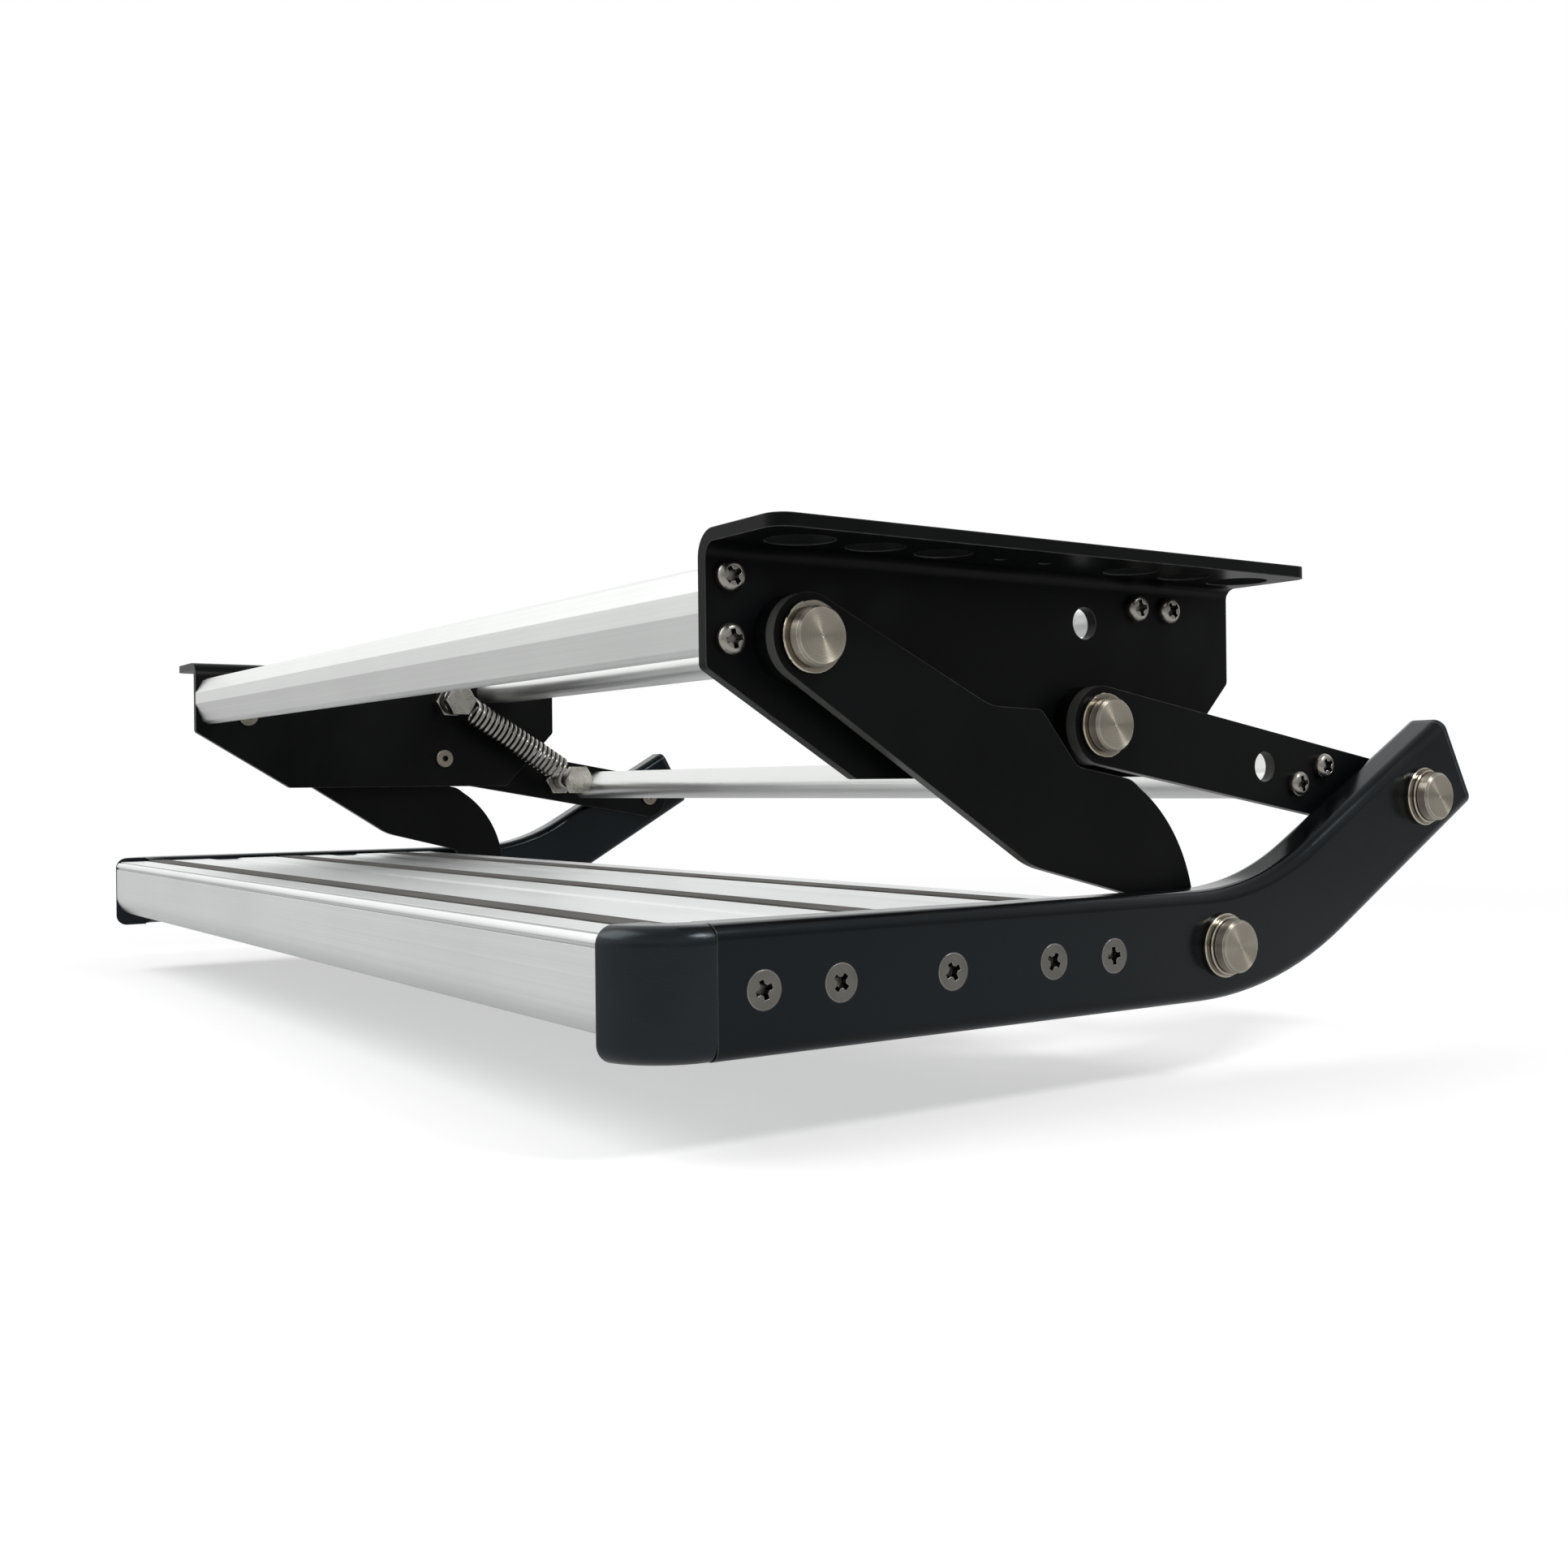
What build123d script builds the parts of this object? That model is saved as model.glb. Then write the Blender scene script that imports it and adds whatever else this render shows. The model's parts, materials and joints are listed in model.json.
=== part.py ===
from build123d import *
import os
from math import atan2, ceil, cos, degrees, hypot, pi, radians, sin, sqrt, tan

os.makedirs("parts", exist_ok=True)

# Fold-out entry step of a camper, in its stowed position.
# X runs across the step, Y towards the vehicle and Z up. Lengths are in millimetres.
# The origin lies midway between the two brackets, on the top face of their flanges,
# in the middle of the rows of fixing holes. Right is +X, as seen by someone who steps up.

# Pivots of the folding linkage in the side view, as (Y, Z)
front_pivot = (-86.5, -31.0)
rear_pivot = (35.0, -55.5)
tread_front_pivot = (73.5, -131.0)
tread_rear_pivot = (188.5, -81.5)

# Layers from the inner face of a bracket outwards
bracket_gap = 552.0
plate = 4.0
spacer_length = 6.5
front_link_shim = 0.4
rail_clearance = 0.4
rail_width = 17.0
fit_clearance = 0.05

# Brackets, bent from plate
bracket_front_margin = 21.2
bracket_rear_margin = 15.6
web_height = 73.0
web_front_corner = -40.2
web_front_slope_end = -62.0
web_rear_corner = -38.8
web_rear_slope_start = 77.6
flange_width = 41.0
bend_inside_radius = 4.0
flange_corner_radius = 6.0
web_corner_radius = 2.5

# Holes in the flanges, as distances along Y from the origin
fixing_row_offset = 18.0
end_hole_spacing = 190.0
end_hole_diameter = 21.0
inner_hole_diameter = 18.0
inner_hole_places = (-67.5, -41.0, 41.0, 67.5)
pilot_hole_diameter = 4.0
pilot_hole_places = (-17.5, 1.5)

# Spring, its bolts and the holes for them
spring_hole_diameter = 11.0
upper_spring_point = (37.3, -20.0)
lower_spring_distance = 84.7
spring_wire = 2.5
spring_outer_diameter = 17.5
spring_turns = 20
spring_hook_plane = 15.5
hook_loop_ends = (-50, -160, -270)
hook_clearance = 0.3
bolt_diameter = 10.0
bolt_head_height = 6.4
bolt_head_flats = 17.0
nut_height = 8.0
thin_nut_height = 5.0
bolt_end = 1.0

# Links
link_end_radius = 13.4
stop_gap = 2.5
link_heel_distance = 112.6
link_heel_radius = 30.0
link_waist_distance = 156.7
link_waist_offset = 1.0
link_waist_radius = 6.0
link_lobe_radius = 57.0
link_lobe_centre = (142.2, -22.5)
link_lobe_angles = (30, 60, 90)
link_notch_ends = (16.0, -10.0)
link_notch_radii = [12, 7, 4, 20]
link_knee = (70.0, 21.5)
lower_bar_distance = 110.1
lower_bar_offset = 1.1
lower_bar_tilt = 33.6

# Silver cross tubes
front_tube_depth = 16.0
front_tube_height = 28.0
front_tube_drop = 22.5
front_tube_screw_spacing = 18.5
bar_screw_spacing = 16.2
bar_screw_margin = 4.9
bar_thickness = 12.0
bar_wall = 2.0
rear_bar_centre = (70.2, -13.6)

# Side rails, bent from rectangular tube
rail_height = 38.0
rail_corner_radius = 4.5
rail_wall = 2.5
rail_bend_radius = 137.0
rail_bend_angle = 29.4
rail_tail = 25.5
rail_front = -131.2
end_cap_flange = 2.5
end_cap_plug = 14.0
plug_clearance = 0.1

# Corner pieces at the front of the rails
corner_front = -158.5
corner_inner_gap = 3.1
corner_edge_radius = 5.6
corner_plan_radius = 26.0
corner_spigot = 10.0

# Tread planks, all of the same height, each with a grip strip along its front edge
tread_drop = 2.1
tread_height = 30.4
tread_end_gap = 0.3
nosing_front = -157.5
front_plank_front = -141.5
middle_plank_front = -66.0
rear_plank_front = 0.7
rear_plank_rear = 30.6
plank_gap = 0.2
plank_wall = 2.0
nosing_bottom_radius = 11.0
nosing_top_radius = 3.0
groove_width = 1.2
groove_depth = 0.6
nosing_groove_distance = 1.6
channel_width = 18.0
channel_depth = 0.7
grip_width = 11.6
grip_depth = 2.4
grip_rise = 0.3
grip_lip = 1.4
lip_recess = 1.5
boss_diameter = 11.0
front_plank_screws = (-116.0, -89.5)
middle_plank_screws = (-47.8, -6.2)
rear_plank_screws = (20.6,)
plank_screw_turns = (20, 50, 28, 60, 5)
pan_screw_turns = (12, 38)

# Pivot pins: a turned head and barrel, held by a low-head screw from the inside
barrel_diameter = 10.0
pin_head_diameter = 18.0
pin_head_height = 4.3
pin_head_chamfer = 0.6
washer_diameter = 22.0
washer_thickness = 1.8
inner_washer_diameter = 20.0
retaining_head_diameter = 11.0
retaining_head_height = 2.2
retaining_screw_diameter = 6.0
retaining_screw_length = 12.0
retaining_socket_flats = 3.6
retaining_socket_depth = 3.2
thread_clearance = 1.0
edge_break = 0.5

# Screws with a cross recess
pan_diameter = 5.0
pan_head_diameter = 9.5
pan_head_height = 3.4
pan_length = 20.0
countersunk_diameter = 6.0
countersunk_head_diameter = 11.3
countersunk_length = 38.0
recess_width = 1.7
recess_length = 5.8
recess_depth = 2.2

# Worked-out faces of the layers, all on the right side
web_inside = bracket_gap / 2
web_outside = web_inside + plate
rear_link_inside = web_outside + spacer_length
rear_link_outside = rear_link_inside + plate
front_link_inside = rear_link_inside + front_link_shim
front_link_outside = front_link_inside + plate
rail_inside = front_link_outside + rail_clearance
rail_outside = rail_inside + rail_width
rail_middle = (rail_inside + rail_outside) / 2
flange_edge = web_inside + flange_width
bracket_front = -end_hole_spacing / 2 - bracket_front_margin
bracket_rear = end_hole_spacing / 2 + bracket_rear_margin
bar_width = bar_screw_spacing + 2 * bar_screw_margin
fixing_row = web_outside + fixing_row_offset

# Worked-out heights and lengths
rail_level = tread_front_pivot[1]
tread_top = rail_level + rail_height / 2 - tread_drop
tread_bottom = tread_top - tread_height
barrel_hole = barrel_diameter + 2 * fit_clearance
grip_floor = grip_depth + plank_wall
front_tube_middle = bracket_front + front_tube_depth / 2
front_link_length = hypot(
    tread_front_pivot[0] - front_pivot[0], tread_front_pivot[1] - front_pivot[1]
)


def along(start, end, distance, offset=0.0):
    """The (Y, Z) point that lies distance along the line from start to end, and offset above it."""
    length = hypot(end[0] - start[0], end[1] - start[1])
    direction = ((end[0] - start[0]) / length, (end[1] - start[1]) / length)
    return (
        start[0] + direction[0] * distance - direction[1] * offset,
        start[1] + direction[1] * distance + direction[0] * offset,
    )


def on_front_link(distance, offset=0.0):
    return along(front_pivot, tread_front_pivot, distance, offset)


def on_rear_link(distance, offset=0.0):
    return along(rear_pivot, tread_rear_pivot, distance, offset)


def outward(x, point, turn=0):
    """A plane at x over a side-view point, facing away from the middle of the step."""
    across = (0, cos(radians(turn)), sin(radians(turn)))
    return Plane(origin=(x, point[0], point[1]), x_dir=across, z_dir=(1, 0, 0))


def turned_planes(x, points, turns):
    """Outward planes over several points, each turned so that no two screws stop alike."""
    return [outward(x, point, turn) for point, turn in zip(points, turns)]


def inward(x, point):
    """A plane at x over a side-view point, facing the middle of the step."""
    return Plane(origin=(x, point[0], point[1]), x_dir=(0, -1, 0), z_dir=(-1, 0, 0))


def save(part, name):
    part.label = name
    export_step(part, f"parts/{name}.step")


def save_pair(part, name):
    """Writes a piece of the right side and its mirror image on the left."""
    save(part, f"right_{name}")
    with BuildPart() as opposite:
        mirror(part, about=Plane.YZ)
    save(opposite.part, f"left_{name}")


def placed_on_both_sides(part, planes):
    """Copies of a fastener at planes of the right side, and their mirror images."""
    with BuildPart() as group:
        with Locations(*planes):
            add(part)
        mirror(about=Plane.YZ)
    return group.part


# Places of the pieces in the side view
lower_spring_point = on_rear_link(lower_spring_distance)
rear_link_angle = degrees(
    atan2(tread_rear_pivot[1] - rear_pivot[1], tread_rear_pivot[0] - rear_pivot[0])
)
lower_bar_centre = on_rear_link(lower_bar_distance, lower_bar_offset)
lower_bar_angle = rear_link_angle + lower_bar_tilt
front_tube_screw_points = [
    (front_tube_middle, -front_tube_drop + side * front_tube_screw_spacing / 2) for side in (-1, 1)
]
rear_bar_screw_points = [
    (rear_bar_centre[0] + side * bar_screw_spacing / 2, rear_bar_centre[1]) for side in (-1, 1)
]
lower_bar_screw_points = [
    (
        lower_bar_centre[0] + side * bar_screw_spacing / 2 * cos(radians(lower_bar_angle)),
        lower_bar_centre[1] + side * bar_screw_spacing / 2 * sin(radians(lower_bar_angle)),
    )
    for side in (-1, 1)
]
plank_screw_points = [
    (y, rail_level) for y in front_plank_screws + middle_plank_screws + rear_plank_screws
]


# Screws, each drawn with the underside of its head on the XY plane and its shank below
with BuildPart() as cross_recess:
    with BuildSketch():
        Rectangle(recess_length, recess_width)
        Rectangle(recess_width, recess_length)
        Circle(recess_width)
    extrude(amount=-recess_depth, taper=8)


with BuildPart() as pan_screw:
    Cylinder(pan_head_diameter / 2, pan_head_height, align=(Align.CENTER, Align.CENTER, Align.MIN))
    fillet(pan_screw.edges().filter_by(GeomType.CIRCLE).sort_by(Axis.Z)[-1], pan_head_height * 0.6)
    Cylinder(pan_diameter / 2, pan_length, align=(Align.CENTER, Align.CENTER, Align.MAX))
    with Locations((0, 0, pan_head_height)):
        add(cross_recess.part, mode=Mode.SUBTRACT)

countersunk_head_depth = (countersunk_head_diameter - countersunk_diameter) / 2
with BuildPart() as countersunk_screw:
    with BuildSketch(Plane.XZ):
        with BuildLine():
            Polyline(
                (0, 0),
                (countersunk_head_diameter / 2, 0),
                (countersunk_diameter / 2, -countersunk_head_depth),
                (countersunk_diameter / 2, -countersunk_length),
                (0, -countersunk_length),
                close=True,
            )
        make_face()
    revolve(axis=Axis.Z)
    add(cross_recess.part, mode=Mode.SUBTRACT)

with BuildPart() as retaining_screw:
    Cylinder(
        retaining_head_diameter / 2,
        retaining_head_height,
        align=(Align.CENTER, Align.CENTER, Align.MIN),
    )
    chamfer(retaining_screw.edges().filter_by(GeomType.CIRCLE).sort_by(Axis.Z)[-1], edge_break)
    Cylinder(
        retaining_screw_diameter / 2,
        retaining_screw_length,
        align=(Align.CENTER, Align.CENTER, Align.MAX),
    )
    with BuildSketch(Plane.XY.offset(retaining_head_height)):
        RegularPolygon(retaining_socket_flats / 2, 6, major_radius=False)
    extrude(amount=-retaining_socket_depth, mode=Mode.SUBTRACT)


def hexagon_blank(flats, height):
    """A hexagon with its upper corners turned off, standing on the XY plane."""
    corner = flats / sqrt(3)
    bevel = corner - flats / 2
    with BuildPart() as blank:
        with BuildSketch():
            RegularPolygon(flats / 2, 6, major_radius=False)
        extrude(amount=height)
        with BuildSketch(Plane.XZ):
            with BuildLine():
                Polyline(
                    (0, 0),
                    (corner, 0),
                    (corner, height - bevel * 0.6),
                    (flats / 2, height),
                    (0, height),
                    close=True,
                )
            make_face()
        revolve(axis=Axis.Z, mode=Mode.INTERSECT)
    return blank.part


def hexagon_nut(height):
    with BuildPart() as nut:
        add(hexagon_blank(bolt_head_flats, height))
        Cylinder(
            bolt_diameter / 2 + fit_clearance,
            height,
            align=(Align.CENTER, Align.CENTER, Align.MIN),
            mode=Mode.SUBTRACT,
        )
    return nut.part


def hexagon_bolt(length):
    """A bolt whose head stands on the XY plane, with its shank below."""
    with BuildPart() as bolt:
        add(hexagon_blank(bolt_head_flats, bolt_head_height))
        Cylinder(bolt_diameter / 2, length, align=(Align.CENTER, Align.CENTER, Align.MAX))
        chamfer(bolt.edges().filter_by(GeomType.CIRCLE).sort_by(Axis.Z)[0], bolt_end)
    return bolt.part


def pivot_pin(barrel_length):
    """A turned pin whose head stands on the XY plane, with its threaded barrel below."""
    with BuildPart() as pin:
        Cylinder(
            pin_head_diameter / 2, pin_head_height, align=(Align.CENTER, Align.CENTER, Align.MIN)
        )
        chamfer(pin.edges().filter_by(GeomType.CIRCLE).sort_by(Axis.Z)[-1], pin_head_chamfer)
        Cylinder(barrel_diameter / 2, barrel_length, align=(Align.CENTER, Align.CENTER, Align.MAX))
        with Locations((0, 0, -barrel_length)):
            Cylinder(
                retaining_screw_diameter / 2 + fit_clearance,
                min(retaining_screw_length + thread_clearance, barrel_length),
                align=(Align.CENTER, Align.CENTER, Align.MIN),
                mode=Mode.SUBTRACT,
            )
    return pin.part


def washer(outer_diameter, thickness):
    with BuildPart() as ring:
        with BuildSketch():
            Circle(outer_diameter / 2)
            Circle(barrel_hole / 2, mode=Mode.SUBTRACT)
        extrude(amount=thickness)
        chamfer(
            ring.edges().filter_by(GeomType.CIRCLE).group_by(Axis.Z)[-1].sort_by(SortBy.RADIUS)[-1],
            edge_break * 0.6,
        )
    return ring.part


# Bracket: an angle bent from plate, with its flange turned outwards
with BuildPart() as bracket:
    with BuildSketch(Plane.XZ.offset(-bracket_rear)):
        with BuildLine():
            Polyline(
                (web_inside, 0),
                (web_inside, -web_height),
                (web_outside, -web_height),
                (web_outside, -plate),
                (flange_edge, -plate),
                (flange_edge, 0),
                close=True,
            )
        make_face()
    extrude(amount=bracket_rear - bracket_front)
    bend_lines = bracket.edges().filter_by(Axis.Y)
    fillet(bend_lines.sort_by_distance((web_inside, 0, 0))[0], bend_inside_radius + plate)
    bend_lines = bracket.edges().filter_by(Axis.Y)
    fillet(bend_lines.sort_by_distance((web_outside, 0, -plate))[0], bend_inside_radius)
    with BuildSketch(Plane.YZ.offset(web_inside)):
        with BuildLine():
            FilletPolyline(
                (bracket_front, 0),
                (bracket_front, web_front_corner),
                (web_front_slope_end, -web_height),
                (web_rear_slope_start, -web_height),
                (bracket_rear, web_rear_corner),
                (bracket_rear, 0),
                radius=web_corner_radius,
            )
            Line((bracket_rear, 0), (bracket_front, 0))
        make_face()
    extrude(amount=flange_width, mode=Mode.INTERSECT)
    flange_corners = bracket.edges().filter_by(Axis.Z).group_by(Axis.X)[-1]
    fillet(flange_corners, flange_corner_radius)
    with BuildSketch(Plane.YZ.offset(web_inside)):
        with Locations(front_pivot, rear_pivot):
            Circle(retaining_screw_diameter / 2 + fit_clearance)
        with Locations(upper_spring_point):
            Circle(spring_hole_diameter / 2)
        with Locations(*front_tube_screw_points, *rear_bar_screw_points):
            Circle(pan_diameter / 2 + fit_clearance)
    extrude(amount=plate, mode=Mode.SUBTRACT)
    with BuildSketch():
        with Locations(*[(fixing_row, side * end_hole_spacing / 2) for side in (-1, 1)]):
            Circle(end_hole_diameter / 2)
        with Locations(*[(fixing_row, place) for place in inner_hole_places]):
            Circle(inner_hole_diameter / 2)
        with Locations(*[(fixing_row, place) for place in pilot_hole_places]):
            Circle(pilot_hole_diameter / 2)
    extrude(amount=-plate, mode=Mode.SUBTRACT)
save_pair(bracket.part, "bracket")


# Front cross tube: an extrusion with flat bands round its nose, and two screw channels
half_tube = front_tube_height / 2
band_depth = front_tube_depth * 0.24
nose = [
    (0, half_tube),
    (-front_tube_depth / 2 + band_depth, half_tube * 0.84),
    (-front_tube_depth / 2, half_tube * 0.34),
    (-front_tube_depth / 2, -half_tube * 0.12),
    (-front_tube_depth / 2 + band_depth, -half_tube * 0.82),
    (0, -half_tube),
]
with BuildPart() as front_tube:
    with BuildSketch(Plane.YZ.offset(-web_inside)):
        with Locations((front_tube_middle, -front_tube_drop)):
            Polygon(*nose, *[(-depth, height) for depth, height in reversed(nose[1:-1])], align=None)
        with Locations(*front_tube_screw_points):
            Circle(pan_diameter / 2 + fit_clearance, mode=Mode.SUBTRACT)
        with Locations((front_tube_middle, -front_tube_drop)):
            SlotOverall(
                front_tube_screw_spacing - pan_diameter - 2 * bar_wall,
                front_tube_depth - 4 * bar_wall,
                rotation=90,
                mode=Mode.SUBTRACT,
            )
    extrude(amount=bracket_gap)
    crown_lines = front_tube.edges().filter_by(Axis.X).group_by(Axis.Z)
    fillet(crown_lines[0] + crown_lines[-1], front_tube_depth * 0.3)
save(front_tube.part, "front_cross_tube")


def flat_bar(centre, angle, half_length):
    """A flat oval extrusion across the step, with a screw channel at each end of its section."""
    with BuildPart() as bar:
        with BuildSketch(Plane.YZ.offset(-half_length)):
            with Locations(Location((centre[0], centre[1]), angle)):
                SlotOverall(bar_width, bar_thickness)
                with GridLocations(bar_screw_spacing, 0, 2, 1):
                    Circle(pan_diameter / 2 + fit_clearance, mode=Mode.SUBTRACT)
                Rectangle(
                    bar_screw_spacing - pan_diameter - 2 * bar_wall,
                    bar_thickness - 2 * bar_wall,
                    mode=Mode.SUBTRACT,
                )
        extrude(amount=2 * half_length)
    return bar.part


save(flat_bar(rear_bar_centre, 0, web_inside), "rear_cross_bar")
save(flat_bar(lower_bar_centre, lower_bar_angle, rear_link_inside), "lower_cross_bar")

save(
    placed_on_both_sides(
        pan_screw.part, turned_planes(web_outside, front_tube_screw_points, pan_screw_turns)
    ),
    "front_tube_screws",
)
save(
    placed_on_both_sides(
        pan_screw.part, turned_planes(web_outside, rear_bar_screw_points, pan_screw_turns)
    ),
    "rear_bar_screws",
)
save(
    placed_on_both_sides(
        pan_screw.part, turned_planes(rear_link_outside, lower_bar_screw_points, pan_screw_turns)
    ),
    "lower_bar_screws",
)


# Front link: a plate with a notch that closes over the end of the rear link when stowed
def on_lobe(angle):
    return on_front_link(
        link_lobe_centre[0] + link_lobe_radius * cos(radians(angle)),
        link_lobe_centre[1] + link_lobe_radius * sin(radians(angle)),
    )


notch_depth = link_end_radius + stop_gap
with BuildPart() as front_link:
    with BuildSketch(Plane.YZ.offset(front_link_inside)):
        with BuildLine():
            lower_edge = FilletPolyline(
                on_front_link(0, -link_end_radius),
                on_front_link(link_heel_distance, -link_end_radius),
                on_front_link(link_waist_distance, link_waist_offset),
                on_front_link(front_link_length, -link_end_radius),
                radius=[link_heel_radius, link_waist_radius],
            )
            tail = Line(lower_edge @ 1, on_lobe(link_lobe_angles[0]))
            lobe = ThreePointArc(*[on_lobe(angle) for angle in link_lobe_angles])
            upper_edge = FilletPolyline(
                lobe @ 1,
                on_rear_link(link_notch_ends[0], -notch_depth),
                on_rear_link(link_notch_ends[1], -notch_depth),
                on_rear_link(link_notch_ends[1] - notch_depth * 1.2, 0),
                on_front_link(*link_knee),
                on_front_link(0, link_end_radius),
                radius=link_notch_radii,
            )
            Line(upper_edge @ 1, lower_edge @ 0)
        make_face()
        with Locations(front_pivot, tread_front_pivot):
            Circle(link_end_radius)
            Circle(barrel_hole / 2, mode=Mode.SUBTRACT)
    extrude(amount=plate)
save_pair(front_link.part, "front_link")


# Rear link: a straight plate with round ends
rear_link_length = hypot(
    tread_rear_pivot[0] - rear_pivot[0], tread_rear_pivot[1] - rear_pivot[1]
)
with BuildPart() as rear_link:
    with BuildSketch(Plane.YZ.offset(rear_link_inside)):
        with Locations(Location(on_rear_link(rear_link_length / 2), rear_link_angle)):
            SlotCenterToCenter(rear_link_length, 2 * link_end_radius)
        with Locations(rear_pivot, tread_rear_pivot):
            Circle(barrel_hole / 2, mode=Mode.SUBTRACT)
        with Locations(lower_spring_point):
            Circle(spring_hole_diameter / 2, mode=Mode.SUBTRACT)
        with Locations(*lower_bar_screw_points):
            Circle(pan_diameter / 2 + fit_clearance, mode=Mode.SUBTRACT)
    extrude(amount=plate)
save_pair(rear_link.part, "rear_link")


# Spacers between the webs and the links
def spacer(point, length):
    with BuildPart() as tube:
        with BuildSketch(outward(web_outside, point)):
            Circle(link_end_radius)
            Circle(barrel_hole / 2, mode=Mode.SUBTRACT)
        extrude(amount=length)
    return tube.part


save_pair(spacer(front_pivot, front_link_inside - web_outside), "front_pivot_spacer")
save_pair(spacer(rear_pivot, rear_link_inside - web_outside), "rear_pivot_spacer")


# Side rail: rectangular tube, level under the planks and bent up to the rear pivot
bend_corner = (
    tread_rear_pivot[0]
    - (tread_rear_pivot[1] - rail_level) / tan(radians(rail_bend_angle)),
    rail_level,
)
rail_end = along(
    bend_corner,
    tread_rear_pivot,
    hypot(tread_rear_pivot[0] - bend_corner[0], tread_rear_pivot[1] - bend_corner[1]) + rail_tail,
)
rail_front_plane = Plane(origin=(rail_middle, rail_front, rail_level), x_dir=(1, 0, 0), z_dir=(0, 1, 0))
with BuildPart() as side_rail:
    with BuildLine(Plane.YZ.offset(rail_middle)) as rail_path:
        FilletPolyline((rail_front, rail_level), bend_corner, rail_end, radius=rail_bend_radius)
    with BuildSketch(rail_front_plane):
        RectangleRounded(rail_width, rail_height, rail_corner_radius)
        RectangleRounded(
            rail_width - 2 * rail_wall,
            rail_height - 2 * rail_wall,
            rail_corner_radius - rail_wall,
            mode=Mode.SUBTRACT,
        )
    sweep()
    with Locations(*[outward(rail_outside, point) for point in plank_screw_points]):
        CounterSinkHole(
            countersunk_diameter / 2 + fit_clearance,
            countersunk_head_diameter / 2 + fit_clearance,
            rail_width,
            counter_sink_angle=90,
        )
    with Locations(
        outward(rail_outside, tread_front_pivot), outward(rail_outside, tread_rear_pivot)
    ):
        Hole(barrel_hole / 2, rail_width)
save_pair(side_rail.part, "side_rail")

rail_end_plane = Plane(
    origin=(rail_middle, rail_end[0], rail_end[1]),
    x_dir=(1, 0, 0),
    z_dir=(0, cos(radians(rail_bend_angle)), sin(radians(rail_bend_angle))),
)
with BuildPart() as end_cap:
    with BuildSketch(rail_end_plane):
        RectangleRounded(rail_width, rail_height, rail_corner_radius)
    extrude(amount=end_cap_flange)
    rail_axis = Axis(rail_end_plane.origin, rail_end_plane.z_dir)
    fillet(end_cap.faces().sort_by(rail_axis)[-1].edges(), end_cap_flange * 0.5)
    with BuildSketch(rail_end_plane):
        RectangleRounded(
            rail_width - 2 * (rail_wall + plug_clearance),
            rail_height - 2 * (rail_wall + plug_clearance),
            rail_corner_radius - rail_wall,
        )
    extrude(amount=-end_cap_plug)
save_pair(end_cap.part, "rail_end_cap")


# Planks: box extrusions with a groove for a grip strip along the front edge
def box_section(front, rear, screws):
    """Draws the outline of a plank, its chambers and its screw channels."""
    with Locations(((front + rear) / 2, (tread_top + tread_bottom) / 2)):
        RectangleRounded(rear - front, tread_height, plank_wall / 2)
    dividers = [front + plank_wall / 2]
    dividers += list(screws)
    dividers += [rear - plank_wall / 2]
    for start, end in zip(dividers, dividers[1:]):
        low = start + plank_wall / 2
        high = end - plank_wall / 2
        with Locations(((low + high) / 2, (tread_top - grip_floor + tread_bottom + plank_wall) / 2)):
            RectangleRounded(
                high - low,
                tread_height - grip_floor - plank_wall,
                plank_wall / 4,
                mode=Mode.SUBTRACT,
            )
    with Locations(*[(place, rail_level) for place in screws]):
        Circle(boss_diameter / 2)
        Circle(countersunk_diameter / 2 + fit_clearance, mode=Mode.SUBTRACT)


def grip_profile(front, rise, clearance):
    """Corners of a strip that is wider at its foot than at its top, which stands rise proud."""
    middle = front + grip_lip + grip_width / 2
    slope = grip_lip / 2 / grip_depth
    top = grip_width / 2 - clearance - slope * rise
    foot = grip_width / 2 - clearance + slope * grip_depth
    floor = tread_top - grip_depth + clearance
    return [
        (middle - top, tread_top + rise),
        (middle + top, tread_top + rise),
        (middle + foot, floor),
        (middle - foot, floor),
    ]


def shallow_channel(front, rear):
    """A broad dip with sloping sides, midway between the grip strip and the rear edge."""
    centre = (front + grip_width + 2 * grip_lip + rear) / 2
    half = channel_width / 2
    bed = half - 3 * channel_depth
    Polygon(
        (centre - half, tread_top),
        (centre - bed, tread_top - channel_depth),
        (centre + bed, tread_top - channel_depth),
        (centre + half, tread_top),
        align=None,
        mode=Mode.SUBTRACT,
    )


plank_end = rail_inside - tread_end_gap


def plank(front, rear, screws, has_channel):
    with BuildPart() as extrusion:
        with BuildSketch(Plane.YZ.offset(-plank_end)):
            box_section(front, rear, screws)
            Polygon(*grip_profile(front, 0, 0), align=None, mode=Mode.SUBTRACT)
            with Locations((front + grip_lip / 2, tread_top)):
                Rectangle(grip_lip, 2 * lip_recess, mode=Mode.SUBTRACT)
            if has_channel:
                shallow_channel(front, rear)
        extrude(amount=2 * plank_end)
    return extrusion.part


def grip_strip(front):
    with BuildPart() as strip:
        with BuildSketch(Plane.YZ.offset(-plank_end)):
            Polygon(*grip_profile(front, grip_rise, fit_clearance), align=None)
        extrude(amount=2 * plank_end)
    return strip.part


front_plank_rear = middle_plank_front - plank_gap
middle_plank_rear = rear_plank_front - plank_gap
nosing_rear = front_plank_front - plank_gap
save(plank(front_plank_front, front_plank_rear, front_plank_screws, True), "front_plank")
save(plank(middle_plank_front, middle_plank_rear, middle_plank_screws, True), "middle_plank")
save(plank(rear_plank_front, rear_plank_rear, rear_plank_screws, False), "rear_plank")
save(grip_strip(front_plank_front), "front_plank_grip_strip")
save(grip_strip(middle_plank_front), "middle_plank_grip_strip")
save(grip_strip(rear_plank_front), "rear_plank_grip_strip")

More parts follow.
